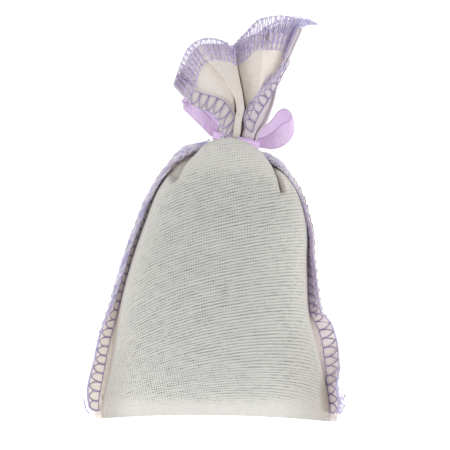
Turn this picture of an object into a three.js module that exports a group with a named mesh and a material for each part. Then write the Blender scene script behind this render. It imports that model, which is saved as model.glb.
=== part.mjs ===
// A lavender sachet lying on its back: a filled cotton bag with overlocked seams outside,
// its top gathered into a collar and tied with a satin ribbon bow behind the neck.
// Millimetres. +X is right, +Y points to the collar, +Z is up. z = 0 is the patch it lies on.
import * as THREE from "three";

// Main sizes: the bag between its side seams at the bottom and from the bottom fold to the tie,
// the most it is filled out, and the collar above the tie
const BAG_WIDTH = 74;
const BAG_LENGTH = 88.3;
const BAG_DEPTH = 36;
const COLLAR_WIDTH = 38.8;
const COLLAR_LENGTH = 39.3;
const COLLAR_DEPTH = 13;

// Cloth, thread and clearances
const CLOTH = 0.5;
const SEAT_GAP = 0.25;
const LAYER_GAP = 0.45;
const THREAD_RADIUS = 0.2;
const THREAD_SIDES = 3;
const ALLOWANCE = 4.4;
const CORNER_ALLOWANCE = 2.4;
const NEEDLE_SET = 1.1;
const LOOPER_SET = 0.8;
const LOOPER_OVERHANG = 0.3;
const SEAM_PITCH = 3;
// A looper's turns in each stitch: the share of the stitch, and whether it is out at the edge
const LOOPER_STEPS = [
  [0.1, false],
  [0.4, false],
  [0.6, true],
  [0.9, true],
];
const HEM_PITCH = 2.2;
const HEM_WIDTH = 5.5;
const HEM_END_MARGIN = 0.05;
const SEAM_END_MARGIN = 2.5;

// Bag body, from the bottom fold to the neck, in per cent of the bag's main sizes: seam outlines,
// seam height above the table, rise of the front over the seams and drop of the back below them
const STATIONS = [
  { left: [-49.46, 0.57], right: [50.54, -0.57], seam: 8.89, rise: 1.39, drop: 1.39 },
  { left: [-49.46, 7.13], right: [50, 7.13], seam: 12.5, rise: 38.89, drop: 15.28 },
  { left: [-47.16, 20.16], right: [47.57, 20.16], seam: 19.44, rise: 59.72, drop: 26.39 },
  { left: [-42.7, 37.15], right: [42.57, 37.15], seam: 27.78, rise: 63.89, drop: 36.11 },
  { left: [-37.84, 53.57], right: [40.41, 53.57], seam: 33.33, rise: 61.11, drop: 41.67 },
  { left: [-30.81, 71.12], right: [40.14, 70.55], seam: 37.5, rise: 56.94, drop: 43.06 },
  { left: [-24.59, 83.58], right: [35.41, 83.01], seam: 38.89, rise: 50, drop: 38.89 },
  { left: [-12.84, 93.54], right: [26.35, 91.05], seam: 38.89, rise: 37.5, drop: 26.39 },
];
const BODY_ROWS = 20;
const BODY_COLUMNS = 16;
const FOLD_ROUND = 0.6;
const FOLD_LIFT = 6;
const FOLD_LIFT_LENGTH = 22;
const BOTTOM_ARCH = 1.8;
const SEAM_LEAN_LOW = 5;
const SEAM_LEAN_HIGH = 42;
const PLEAT_DEPTH = 1.6;
const PLEAT_COUNT = 4;
const FRONT_ROUNDNESS = 0.45;
const BACK_ROUNDNESS = 0.5;

// The back lies flat just clear of the table, on three low spots where the filling presses the cloth
// down, each given by its row and column of the body
const REST_CLEARANCE = 0.25;
const REST_SPOTS = [
  [3, 5],
  [3, 11],
  [12, 8],
];

// Shares of the way from the bottom fold to the neck where the body's details begin and end
const LEAN_SPAN = [0.2, 0.7];
const CORNER_SPAN = [0, 0.12];
const FLAP_TAPER_SPAN = [0.84, 0.95];
const GATHER_SPAN = [0.72, 0.9];
const STITCHED_SPAN = [0.01, 0.88];

// Filling inside the body
const FILLING_GAP = 0.6;
const FILLING_FIRST_ROW = 2;
const FILLING_LAST_ROW = 17;

// Neck, where the ribbon ties the cloth
const NECK_SHIFT = 6.9;
const NECK_HEIGHT = 14;
const NECK_WIDTH = 12.6;
const NECK_DEPTH = 11;
const NECK_LENGTH = 5.2;
const NECK_TILT = -13.4;
const NECK_ALLOWANCE = 0.3;

// Collar above the tie, with the front caught between the two side seams. Seams and hems are given
// from the middle of the neck, in per cent of the collar's main sizes
const FRONT_NECK_START = 105;
const FRONT_NECK_END = 40;
const LEFT_COLLAR_SEAM = [
  [-1.55, 19.59, 41.54],
  [-6.44, 29.01, 35.38],
  [-15.72, 36.39, 26.15],
  [-29.38, 41.73, 12.31],
  [-44.59, 47.58, -7.69],
];
const RIGHT_COLLAR_SEAM = [
  [16.75, 13.49, 35.38],
  [23.97, 28.24, 24.62],
  [32.47, 44.53, 12.31],
  [41.49, 64.89, 0],
  [55.41, 93.38, -15.38],
];
const FRONT_HEM = [
  [-38.92, 68.45, 7.69],
  [-22.42, 80.92, 23.08],
  [-6.96, 78.12, 30.77],
  [0.26, 73.03, 3.08],
  [9.54, 85.24, 18.46],
  [27.58, 97.46, 23.08],
  [44.07, 99.49, 4.62],
];
const BACK_HEM = [
  [-36.34, 65.9, -38.46],
  [-17.78, 77.61, -50.77],
  [2.84, 83.72, -56.92],
  [23.45, 94.4, -53.85],
  [41.49, 99.49, -41.54],
];
const LEFT_FLAP_WAYS = [
  [-0.65, -0.5, 0.57],
  [-0.5, -0.85, 0.15],
  [-0.3, -0.95, 0.1],
];
const RIGHT_FLAP_WAYS = [
  [-0.15, 0.2, 0.97],
  [-0.05, 0.1, 1],
  [0.35, -0.1, 0.93],
];
const COLLAR_ROWS = 13;
const COLLAR_COLUMNS = 22;
const FLAP_OPENING = 0.22;
const COLLAR_STITCH_START = 0.36;

// Ribbon and bow
const RIBBON_WIDTH = 6;
const RIBBON_THICKNESS = 0.4;
const WRAP_HEIGHT = 4;
const WRAP_OPENING = 24;
const WRAP_OPENING_AT = -90;
const WRAP_STEPS = 28;
const KNOT_WIDTH = 6;
const KNOT_RADIUS = 2.3;
const KNOT_FLATNESS = 0.85;
const KNOT_END_RADIUS = 1.65;
const KNOT_WAIST_RADIUS = 2.05;
const KNOT_SIDES = 14;
const PINCHED_WIDTH = 2.2;
const LOOP_PINCH_LENGTH = 8.5;
const TAIL_PINCH_LENGTH = 8.4;
const TAIL_DROP_LENGTH = 6;
const LOOP_THICKNESS = 5.6;
const LOOP_PUFF = 1.3;
const LOOP_ROOT_GAP = 1.2;
const LOOP_ROOT_CLEARANCE = 0.9;
const LOOP_STEPS = 20;
const RIGHT_LOOP = { reach: 15.6, way: [0.92, 0.34, 0.16], face: [0.1, -0.72, 0.68] };
const LEFT_LOOP = { reach: 18, way: [-0.76, 0.6, 0.24], face: [0.45, 0.5, 0.74] };
const TAIL_LENGTH = 24;
const TAIL_SPLAY = 12;
const TAIL_ROOT_SPREAD = 1.5;
const TAIL_REST_HEIGHT = 1.3;
const TAIL_STEPS = 9;
const TAIL_SLANT = 2.5;

// Loose thread, from the corner of the cloth that it hangs on
const CHAIN_TAIL = [
  [0.9, 0.7, 0.1],
  [2.8, 1.2, -0.4],
  [4.8, 0.7, -1],
  [6.2, 0.3, -1.4],
];
const THREAD_END = [
  [0, 0, 0],
  [1, 0.6, 0],
  [1.5, 2.6, -0.2],
  [1.2, 4.6, -0.4],
];
const CHAIN_RADIUS = 0.4;

const FULL_TURN = 360;

const cottonMaterial = material(0xcfcec6, 0.95);
const collarMaterial = material(0xe3dad0, 0.95);
const threadMaterial = material(0x9a86c4, 0.7);
const ribbonMaterial = material(0xd0a6e2, 0.4);
const lavenderMaterial = material(0x77708f, 0.95);

const sachet = new THREE.Group();

function material(color, roughness) {
  return new THREE.MeshStandardMaterial({ color, roughness, metalness: 0 });
}

function add(name, geometry, surface) {
  const mesh = new THREE.Mesh(geometry, surface);
  mesh.name = name;
  sachet.add(mesh);
}

function vector(values) {
  return new THREE.Vector3(...values);
}

function ramp(value, from, to) {
  return THREE.MathUtils.smoothstep(value, from, to);
}

function move(point, direction, distance) {
  return point.clone().addScaledVector(direction, distance);
}

function percent(value, size) {
  return (value / 100) * size;
}

function lerp(a, b, share) {
  return a.clone().lerp(b, share);
}

function steps(count, make) {
  return Array.from({ length: count + 1 }, (_, i) => make(i / count, i));
}

function curve(points) {
  return new THREE.CatmullRomCurve3(points, false, "centripetal");
}

// A closed surface from vertices and faces of three or four corners
function closedGeometry(vertices, faces) {
  const geometry = new THREE.BufferGeometry().setFromPoints(vertices);
  const index = [];
  for (const [a, b, c, d] of faces) {
    index.push(a, b, c);
    if (d !== undefined) index.push(a, c, d);
  }
  return geometry.setIndex(index);
}

function gridNormal(grid, row, column) {
  const across = grid[row];
  const lastRow = grid.length - 1;
  const lastColumn = across.length - 1;
  const du = across[Math.min(column + 1, lastColumn)].clone().sub(across[Math.max(column - 1, 0)]);
  const dv = grid[Math.min(row + 1, lastRow)][column].clone().sub(grid[Math.max(row - 1, 0)][column]);
  return du.cross(dv).normalize();
}

// A sheet of cloth or ribbon with thickness, whose middle surface is the grid
function thickSheet(grid, thickness) {
  const rows = grid.length;
  const columns = grid[0].length;
  const faces = [1, -1].map((side) =>
    grid.flatMap((points, r) =>
      points.map((point, c) => move(point, gridNormal(grid, r, c), (side * thickness) / 2)),
    ),
  );
  const upper = (r, c) => r * columns + c;
  const lower = (r, c) => rows * columns + upper(r, c);
  const quads = [];
  for (let r = 0; r < rows - 1; r++) {
    for (let c = 0; c < columns - 1; c++) {
      quads.push([upper(r, c), upper(r, c + 1), upper(r + 1, c + 1), upper(r + 1, c)]);
      quads.push([lower(r + 1, c), lower(r + 1, c + 1), lower(r, c + 1), lower(r, c)]);
    }
    const last = columns - 1;
    quads.push([upper(r, 0), upper(r + 1, 0), lower(r + 1, 0), lower(r, 0)]);
    quads.push([lower(r, last), lower(r + 1, last), upper(r + 1, last), upper(r, last)]);
  }
  for (let c = 0; c < columns - 1; c++) {
    const last = rows - 1;
    quads.push([lower(0, c), lower(0, c + 1), upper(0, c + 1), upper(0, c)]);
    quads.push([upper(last, c), upper(last, c + 1), lower(last, c + 1), lower(last, c)]);
  }
  return closedGeometry(faces.flat(), quads);
}

// A closed skin through rings of points, with a flat fan at each end
function ringSolid(rings) {
  const size = rings[0].length;
  const vertices = rings.flat();
  const at = (ring, k) => ring * size + (k % size);
  const quads = [];
  for (let ring = 0; ring < rings.length - 1; ring++) {
    for (let k = 0; k < size; k++) {
      quads.push([at(ring, k), at(ring, k + 1), at(ring + 1, k + 1), at(ring + 1, k)]);
    }
  }
  for (let k = 1; k < size - 1; k++) {
    quads.push([at(0, 0), at(0, k + 1), at(0, k)]);
    quads.push([at(rings.length - 1, 0), at(rings.length - 1, k), at(rings.length - 1, k + 1)]);
  }
  return closedGeometry(vertices, quads);
}

// A thread along a line of points, its rings turned as little as the line allows
function threadTube(points, radius) {
  const tangents = points.map((_, i) => {
    const after = points[Math.min(i + 1, points.length - 1)];
    return after.clone().sub(points[Math.max(i - 1, 0)]).normalize();
  });
  const side = vector([0, 0, 1]).cross(tangents[0]).normalize();
  const turn = new THREE.Quaternion();
  const rings = points.map((point, i) => {
    if (i > 0) side.applyQuaternion(turn.setFromUnitVectors(tangents[i - 1], tangents[i]));
    return steps(THREAD_SIDES, (share) =>
      move(point, side.clone().applyAxisAngle(tangents[i], share * 2 * Math.PI), radius),
    ).slice(0, THREAD_SIDES);
  });
  return ringSolid(rings);
}

// The neck's own directions: across, along towards the collar, and up
const tilt = THREE.MathUtils.degToRad(NECK_TILT);
const neckAcross = vector([Math.cos(tilt), Math.sin(tilt), 0]);
const neckAlong = vector([-Math.sin(tilt), Math.cos(tilt), 0]);
const foldY = -(BAG_LENGTH + COLLAR_LENGTH) / 2;
const neckCentre = vector([NECK_SHIFT, foldY + BAG_LENGTH, NECK_HEIGHT]);
const up = vector([0, 0, 1]);

function neckPoint(degrees, along, grow = 0) {
  const angle = THREE.MathUtils.degToRad(degrees);
  const point = move(neckCentre, neckAcross, (NECK_WIDTH / 2 + grow) * Math.cos(angle));
  point.addScaledVector(up, (NECK_DEPTH / 2 + grow) * Math.sin(angle));
  return point.addScaledVector(neckAlong, along);
}

function seamPoint([across, along], seam) {
  const y = foldY + percent(along, BAG_LENGTH);
  return vector([percent(across, BAG_WIDTH), y, percent(seam, BAG_DEPTH)]);
}

// The bag body's seams and fullness run on from its stations to the neck
const bodyEnd = -NECK_LENGTH / 2;
const leftSeam = curve([
  ...STATIONS.map(({ left, seam }) => seamPoint(left, seam)),
  neckPoint(180, bodyEnd),
]);
const rightSeam = curve([
  ...STATIONS.map(({ right, seam }) => seamPoint(right, seam)),
  neckPoint(0, bodyEnd),
]);
const fullness = curve([
  ...STATIONS.map(({ rise, drop }) => vector([percent(rise, BAG_DEPTH), percent(drop, BAG_DEPTH), 0])),
  vector([NECK_DEPTH / 2, NECK_DEPTH / 2, 0]),
]);

// The flap of seam allowance at one side: its root on the seam, its way out and the front layer's side
function bodyFlap(share, side) {
  const seam = side < 0 ? leftSeam : rightSeam;
  const tangent = seam.getTangent(share);
  const out = vector([side * tangent.y, -side * tangent.x, 0]).normalize();
  const leanAngle = THREE.MathUtils.lerp(SEAM_LEAN_LOW, SEAM_LEAN_HIGH, ramp(share, ...LEAN_SPAN));
  const lean = THREE.MathUtils.degToRad(leanAngle);
  const way = out.multiplyScalar(Math.cos(lean)).addScaledVector(up, Math.sin(lean));
  const widening = THREE.MathUtils.lerp(CORNER_ALLOWANCE, ALLOWANCE, ramp(share, ...CORNER_SPAN));
  const width = THREE.MathUtils.lerp(widening, NECK_ALLOWANCE, ramp(share, ...FLAP_TAPER_SPAN));
  return { root: seam.getPoint(share), way, normal: flapNormal(way, tangent, side), width };
}

function flapNormal(way, tangent, side) {
  return way.clone().cross(tangent).multiplyScalar(side).normalize();
}

const layerOffset = (CLOTH + LAYER_GAP) / 2;

function flapColumns(flap, layer) {
  const needle = move(flap.root, flap.normal, layer * layerOffset);
  return { needle, edge: move(needle, flap.way, flap.width) };
}

function clearance(share, across) {
  const row = Math.round(share * BODY_ROWS);
  const column = Math.round(across * BODY_COLUMNS);
  const rests = REST_SPOTS.some(([spotRow, spotColumn]) => row === spotRow && column === spotColumn);
  return rests ? 0 : REST_CLEARANCE;
}

// One row of the front (layer 1) or back (layer -1) of the body, from the left flap to the right
function bodyRow(share, layer) {
  const left = flapColumns(bodyFlap(share, -1), layer);
  const right = flapColumns(bodyFlap(share, 1), layer);
  const amount = fullness.getPoint(share);
  const height = layer > 0 ? amount.x : -amount.y;
  const pleatDepth = layer * PLEAT_DEPTH * ramp(share, ...GATHER_SPAN);
  const roundness = layer > 0 ? FRONT_ROUNDNESS : BACK_ROUNDNESS;
  const fold = 1 - ramp(share * leftSeam.getLength(), 0, FOLD_LIFT_LENGTH);
  const inside = steps(BODY_COLUMNS, (across) => {
    const t = -Math.cos(across * Math.PI);
    const crown = 1 - t * t;
    const pleat = Math.sin(Math.PI * PLEAT_COUNT * across) ** 2;
    const point = lerp(left.needle, right.needle, (t + 1) / 2);
    point.z += height * crown ** roundness;
    point.z += FOLD_LIFT * fold * crown;
    point.y += BOTTOM_ARCH * fold * crown;
    point.z -= pleatDepth * crown * pleat;
    point.z = Math.max(point.z, CLOTH / 2 + clearance(share, across));
    return point;
  }).slice(1, -1);
  return [left.edge, left.needle, ...inside, right.needle, right.edge];
}

function neckCylinderRow(row, along) {
  return row.map((point) => move(point, neckAlong, along));
}

function foldRow(front, back) {
  return front.map((point, c) => lerp(point, back[c], 0.5).add(vector([0, -FOLD_ROUND, 0])));
}

const frontRows = steps(BODY_ROWS, (share) => bodyRow(share, 1));
const backRows = steps(BODY_ROWS, (share) => bodyRow(share, -1));
const toTie = NECK_LENGTH / 2 - SEAT_GAP;

function buildBody() {
  const front = [neckCylinderRow(frontRows.at(-1), toTie), ...frontRows.toReversed()];
  const back = [...backRows, neckCylinderRow(backRows.at(-1), toTie)];
  const strip = [...front, foldRow(frontRows[0], backRows[0]), ...back];
  add("bag_body", thickSheet(strip.toReversed(), CLOTH), cottonMaterial);
}

function buildFilling() {
  const inset = CLOTH / 2 + FILLING_GAP;
  const rings = [];
  for (let row = FILLING_FIRST_ROW; row <= FILLING_LAST_ROW; row++) {
    const columns = [...frontRows[row].keys()].slice(3, -3);
    const front = columns.map((c) => move(frontRows[row][c], gridNormal(frontRows, row, c), -inset));
    const back = columns.map((c) => move(backRows[row][c], gridNormal(backRows, row, c), inset));
    rings.push([...front, ...back.toReversed()]);
  }
  add("lavender_filling", ringSolid(rings), lavenderMaterial);
}

function collarPoint([across, along, rise]) {
  const x = percent(across, COLLAR_WIDTH);
  const y = percent(along, COLLAR_LENGTH);
  return vector([x, y, percent(rise, COLLAR_DEPTH)]).add(neckCentre);
}

// Collar patches are spanned between two seams, the neck and a hem
const collarStart = NECK_LENGTH / 2;
const leftCollarSeam = curve([
  neckPoint(FRONT_NECK_START, collarStart),
  ...LEFT_COLLAR_SEAM.map(collarPoint),
]);
const rightCollarSeam = curve([
  neckPoint(FRONT_NECK_END, collarStart),
  ...RIGHT_COLLAR_SEAM.map(collarPoint),
]);
const hemEnds = [LEFT_COLLAR_SEAM, RIGHT_COLLAR_SEAM].map((seam) => collarPoint(seam.at(-1)));
const frontHem = curve([hemEnds[0], ...FRONT_HEM.map(collarPoint), hemEnds[1]]);
const backHem = curve([hemEnds[0], ...BACK_HEM.map(collarPoint), hemEnds[1]]);

function spannedPoint(u, v, hem, neckEnd) {
  const neckAngle = THREE.MathUtils.lerp(FRONT_NECK_START, neckEnd, u);
  const point = lerp(neckPoint(neckAngle, collarStart), hem.getPoint(u), v);
  point.add(lerp(leftCollarSeam.getPoint(v), rightCollarSeam.getPoint(v), u));
  const low = lerp(leftCollarSeam.getPoint(0), rightCollarSeam.getPoint(0), u);
  const high = lerp(leftCollarSeam.getPoint(1), rightCollarSeam.getPoint(1), u);
  return point.sub(lerp(low, high, v));
}

const leftFlapWay = curve(LEFT_FLAP_WAYS.map(vector));
const rightFlapWay = curve(RIGHT_FLAP_WAYS.map(vector));

function collarFlap(share, side) {
  const seam = side < 0 ? leftCollarSeam : rightCollarSeam;
  const way = (side < 0 ? leftFlapWay : rightFlapWay).getPoint(share).normalize();
  const tangent = seam.getTangent(share);
  const width = THREE.MathUtils.lerp(NECK_ALLOWANCE, ALLOWANCE, ramp(share, 0, FLAP_OPENING));
  return { root: seam.getPoint(share), way, normal: flapNormal(way, tangent, side), width };
}

function collarGrid(layer, hem, neckEnd) {
  const rows = steps(COLLAR_ROWS, (v) => {
    const left = flapColumns(collarFlap(v, -1), layer);
    const right = flapColumns(collarFlap(v, 1), layer);
    const inside = steps(COLLAR_COLUMNS, (u) => spannedPoint(u, v, hem, neckEnd)).slice(1, -1);
    return [left.edge, left.needle, ...inside, right.needle, right.edge];
  });
  return [neckCylinderRow(rows[0], -toTie), ...rows];
}

const collarFront = collarGrid(1, frontHem, FRONT_NECK_END);
const collarBack = collarGrid(-1, backHem, FRONT_NECK_END + FULL_TURN);

function buildCollar() {
  add("collar_front", thickSheet(collarFront, CLOTH), collarMaterial);
  add("collar_back", thickSheet(collarBack, CLOTH), collarMaterial);
}

// The place on an edge at a share of the way from one stitch to the next
function between(from, to, share) {
  return {
    root: lerp(from.root, to.root, share),
    way: lerp(from.way, to.way, share).normalize(),
    normal: lerp(from.normal, to.normal, share).normalize(),
    width: THREE.MathUtils.lerp(from.width, to.width, share),
  };
}

// Overlock stitches over an edge: a needle thread on the shown face and a looper on each face
function overlock(name, stations, halfThickness, needleDistance, shown = 1) {
  const lift = halfThickness + SEAT_GAP + THREAD_RADIUS;
  const needle = stations.map(({ root, way, normal }) =>
    move(move(root, way, needleDistance), normal, shown * lift),
  );
  const looper = (face) =>
    stations.slice(1).flatMap((next, i) =>
      LOOPER_STEPS.map(([share, atEdge]) => {
        const { root, way, normal, width } = between(stations[i], next, share);
        const reach = atEdge ? width + LOOPER_OVERHANG : needleDistance + LOOPER_SET;
        return move(move(root, way, reach), normal, face * lift);
      }),
    );
  add(`${name}_needle_thread`, threadTube(needle, THREAD_RADIUS), threadMaterial);
  add(`${name}_upper_looper`, threadTube(looper(shown), THREAD_RADIUS), threadMaterial);
  add(`${name}_lower_looper`, threadTube(looper(-shown), THREAD_RADIUS), threadMaterial);
}

function seamRun(name, flapAt, side, length, [from, to], shown) {
  const count = Math.round((length * (to - from)) / SEAM_PITCH);
  const stations = steps(count, (share) => flapAt(THREE.MathUtils.lerp(from, to, share), side));
  overlock(name, stations, CLOTH + LAYER_GAP / 2, NEEDLE_SET, shown);
}

function buildSideSeams() {
  for (const [name, side] of [["left", -1], ["right", 1]]) {
    const bodyLength = (side < 0 ? leftSeam : rightSeam).getLength();
    seamRun(`${name}_seam`, bodyFlap, side, bodyLength, STITCHED_SPAN, 1);
    const collarLength = (side < 0 ? leftCollarSeam : rightCollarSeam).getLength();
    const hemShare = (HEM_WIDTH + SEAM_END_MARGIN) / collarLength;
    const stitched = [COLLAR_STITCH_START, 1 - hemShare];
    seamRun(`${name}_collar_seam`, collarFlap, side, collarLength, stitched, -side);
  }
}

// A point of a sheet's middle surface and its normal, at shares of the collar's own grid
function sheetPlace(grid, u, v) {
  const row = THREE.MathUtils.clamp(v, 0, 1) * COLLAR_ROWS + 1;
  const column = THREE.MathUtils.clamp(u, 0, 1) * COLLAR_COLUMNS + 1;
  const r = Math.min(Math.floor(row), grid.length - 2);
  const c = Math.min(Math.floor(column), grid[0].length - 2);
  const mix = (pick) =>
    lerp(
      lerp(pick(r, c), pick(r, c + 1), column - c),
      lerp(pick(r + 1, c), pick(r + 1, c + 1), column - c),
      row - r,
    );
  return { point: mix((i, j) => grid[i][j]), normal: mix((i, j) => gridNormal(grid, i, j)).normalize() };
}

function hemRun(name, grid, hem) {
  const count = Math.round(hem.getLength() / HEM_PITCH);
  const stations = steps(count, (share) => {
    const u = THREE.MathUtils.lerp(HEM_END_MARGIN, 1 - HEM_END_MARGIN, share);
    const edge = sheetPlace(grid, u, 1);
    const base = sheetPlace(grid, u, 0).point;
    const root = sheetPlace(grid, u, 1 - HEM_WIDTH / edge.point.distanceTo(base));
    const way = edge.point.clone().sub(root.point);
    const width = way.length();
    const normal = root.normal.clone().add(edge.normal).normalize();
    return { root: root.point, way: way.normalize(), normal, width };
  });
  overlock(name, stations, CLOTH / 2, 0);
}

function buildHems() {
  hemRun("front_hem", collarFront, frontHem);
  hemRun("back_hem", collarBack, backHem);
}

function buildLooseThread() {
  const chain = CHAIN_TAIL.map((offset) => vector(offset).add(hemEnds[1]));
  add("hem_chain_tail", threadTube(chain, CHAIN_RADIUS), threadMaterial);
  for (const [name, side] of [["left", -1], ["right", 1]]) {
    const flap = bodyFlap(0, side);
    const clear = flap.width + LOOPER_OVERHANG + THREAD_RADIUS + SEAT_GAP + CHAIN_RADIUS;
    const start = move(flap.root, flap.way, clear);
    const points = THREAD_END.map(([out, along, rise]) =>
      start.clone().add(vector([side * out, along, rise])),
    );
    add(`${name}_thread_end`, threadTube(points, CHAIN_RADIUS), threadMaterial);
  }
}

// Ribbon round the neck, open behind where the knot sits
const wrapGrow = CLOTH / 2 + NECK_ALLOWANCE + 2 * SEAT_GAP + RIBBON_THICKNESS / 2;

function buildWrap() {
  const from = WRAP_OPENING_AT + WRAP_OPENING / 2;
  const to = WRAP_OPENING_AT + FULL_TURN - WRAP_OPENING / 2;
  const rows = steps(WRAP_STEPS, (share) => {
    const degrees = THREE.MathUtils.lerp(from, to, share);
    return [-0.5, 0, 0.5].map((edge) => neckPoint(degrees, edge * WRAP_HEIGHT, wrapGrow));
  });
  add("ribbon_wrap", thickSheet(rows, RIBBON_THICKNESS), ribbonMaterial);
}

const knotHalfHeight = KNOT_RADIUS * KNOT_FLATNESS;
const wrapFace = NECK_DEPTH / 2 + wrapGrow + RIBBON_THICKNESS / 2;
const knotCentre = move(neckCentre, up, -(wrapFace + SEAT_GAP + knotHalfHeight));

function buildKnot() {
  const half = KNOT_WIDTH / 2;
  const profile = [
    [0, -half],
    [KNOT_END_RADIUS, -half],
    [KNOT_RADIUS, -half / 2],
    [KNOT_WAIST_RADIUS, 0],
    [KNOT_RADIUS, half / 2],
    [KNOT_END_RADIUS, half],
    [0, half],
  ].map(([radius, along]) => new THREE.Vector2(radius, along));
  const geometry = new THREE.LatheGeometry(profile, KNOT_SIDES);
  geometry.rotateZ(-Math.PI / 2);
  geometry.scale(1, 1, KNOT_FLATNESS);
  geometry.rotateZ(tilt);
  geometry.translate(knotCentre.x, knotCentre.y, knotCentre.z);
  add("ribbon_knot", geometry, ribbonMaterial);
}

function ribbonRow(point, across, width) {
  return [-0.5, 0, 0.5].map((edge) => move(point, across, edge * width));
}

// A bow loop: out from the knot along one band and back along the other
function buildLoop(name, side, { reach, way, face }) {
  const out = vector(way).normalize();
  const normal = vector(face).addScaledVector(out, -vector(face).dot(out)).normalize();
  const across = out.clone().cross(normal);
  const root = move(knotCentre, neckAcross, side * (KNOT_WIDTH / 2 + LOOP_ROOT_CLEARANCE));
  const rows = steps(LOOP_STEPS, (share) => {
    const angle = THREE.MathUtils.lerp(-Math.PI, Math.PI, share);
    const along = reach * (0.5 + 0.5 * Math.cos(angle));
    const band = Math.sin(angle / 2);
    const teardrop = LOOP_PUFF * band * Math.cos(angle / 2) ** 2;
    const apart = LOOP_THICKNESS * teardrop + (LOOP_ROOT_GAP / 2) * band;
    const width = THREE.MathUtils.lerp(PINCHED_WIDTH, RIBBON_WIDTH, ramp(along, 0, LOOP_PINCH_LENGTH));
    return ribbonRow(move(move(root, out, along), normal, apart), across, width);
  });
  add(name, thickSheet(rows, RIBBON_THICKNESS), ribbonMaterial);
}

// A ribbon tail: pinched at the knot, then flat just above the table, with a slanted cut end
function buildTail(name, side) {
  const splay = THREE.MathUtils.degToRad(TAIL_SPLAY) * side;
  const way = neckAlong.clone().applyAxisAngle(up, -splay);
  const across = way.clone().cross(up);
  const root = move(knotCentre, neckAlong, KNOT_RADIUS + SEAT_GAP);
  root.addScaledVector(neckAcross, side * TAIL_ROOT_SPREAD);
  const rows = steps(TAIL_STEPS, (share) => {
    const along = share * TAIL_LENGTH;
    const width = THREE.MathUtils.lerp(PINCHED_WIDTH, RIBBON_WIDTH, ramp(along, 0, TAIL_PINCH_LENGTH));
    const point = move(root, way, along);
    const drop = ramp(along, 0, TAIL_DROP_LENGTH);
    point.z = THREE.MathUtils.lerp(knotCentre.z - knotHalfHeight / 2, TAIL_REST_HEIGHT, drop);
    const row = ribbonRow(point, across, width);
    return row.map((place, c) => move(place, way, (c - 1) * side * TAIL_SLANT * share));
  });
  add(name, thickSheet(rows, RIBBON_THICKNESS), ribbonMaterial);
}

function buildBow() {
  buildWrap();
  buildKnot();
  buildLoop("right_loop", 1, RIGHT_LOOP);
  buildLoop("left_loop", -1, LEFT_LOOP);
  buildTail("right_tail", 1);
  buildTail("left_tail", -1);
}

buildBody();
buildFilling();
buildCollar();
buildSideSeams();
buildHems();
buildLooseThread();
buildBow();

export default sachet;
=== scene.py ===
import math
from functools import partial

import bpy
import numpy as np
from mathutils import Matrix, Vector, noise


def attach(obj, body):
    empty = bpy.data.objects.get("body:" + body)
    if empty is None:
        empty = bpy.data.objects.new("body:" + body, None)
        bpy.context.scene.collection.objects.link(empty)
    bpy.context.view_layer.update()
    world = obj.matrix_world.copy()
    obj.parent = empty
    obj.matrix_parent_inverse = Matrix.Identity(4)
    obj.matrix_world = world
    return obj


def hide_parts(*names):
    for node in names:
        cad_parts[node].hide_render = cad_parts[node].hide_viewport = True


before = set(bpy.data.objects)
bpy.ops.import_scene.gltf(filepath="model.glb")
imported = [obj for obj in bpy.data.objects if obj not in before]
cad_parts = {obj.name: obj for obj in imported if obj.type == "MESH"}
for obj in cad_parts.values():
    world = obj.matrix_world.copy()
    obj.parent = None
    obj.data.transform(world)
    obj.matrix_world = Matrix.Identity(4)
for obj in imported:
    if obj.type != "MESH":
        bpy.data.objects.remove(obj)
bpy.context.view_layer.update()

# Lengths are millimetres in the object's frame. They become metres where a mesh is made.
MM = 0.001
UP = np.array((0.0, 0.0, 1.0))
LEFT = -1
RIGHT = 1
FRONT = 1
BACK = -1

# The photograph's frame and the pixel that lies over the origin
PHOTO_SIZE = 450
MM_PER_PIXEL = 0.32
ORIGIN_PIXEL = (214.5, 217.5)
CAMERA_HEIGHT = 1500
SENSOR_WIDTH = 36

# Stage: each lamp's place in metres and its watts, the even light and the white floor
LAMPS = {
    "left": ((-0.9, 0.1, 0.45), 2.7),
    "right": ((0.9, 0.2, 0.5), 2.9),
    "front": ((0.0, -0.95, 0.35), 3.6),
}
LAMP_SIZE = 0.6
WORLD_STRENGTH = 0.62
FLOOR_HALF = 3.0
FLOOR_GREY = 0.86
FLOOR_GLOW = 0.6

# Colours as they are displayed, from 0 to 255
COTTON = (230, 228, 222)
FILLED_COTTON = (205, 205, 201)
COLLAR_COTTON = (244, 235, 228)
SHADED_COLLAR = (222, 213, 207)
BUDS_BELOW = (178, 180, 188)
THICK_YARN = (234, 231, 224)
WEAVE_GAP = (78, 78, 74)
PLAIN_CREAM_AND_PAINTED_LIGHT = (253, 244, 233)
LILAC_TINT = (214, 200, 222)
FOLD_SHADE = (128, 110, 97)
YARN_SHADES = {
    "lilac_yarn": ((164, 146, 198), (112, 94, 154)),
    "hem_yarn": ((228, 218, 250), (176, 160, 222)),
    "pale_lilac_yarn": ((252, 250, 255), (214, 205, 236)),
    "loose_yarn": ((246, 242, 255), (204, 194, 255)),
}
FIBRE = (226, 220, 240)
DEEP_THREAD = (168, 150, 192)
PAINTED_LIGHT_THREAD = (250, 244, 255)
STREAKED_THREAD = (180, 168, 234)
SATIN = (242, 216, 250)
SATIN_CLOUD = (232, 202, 244)
SATIN_EDGE = (200, 160, 222)
SATIN_INSIDE_PAINTED_LIGHT = (236, 226, 242)
BUD_VIOLET = (104, 92, 134)
BUD_GREEN = (122, 118, 96)

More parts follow.
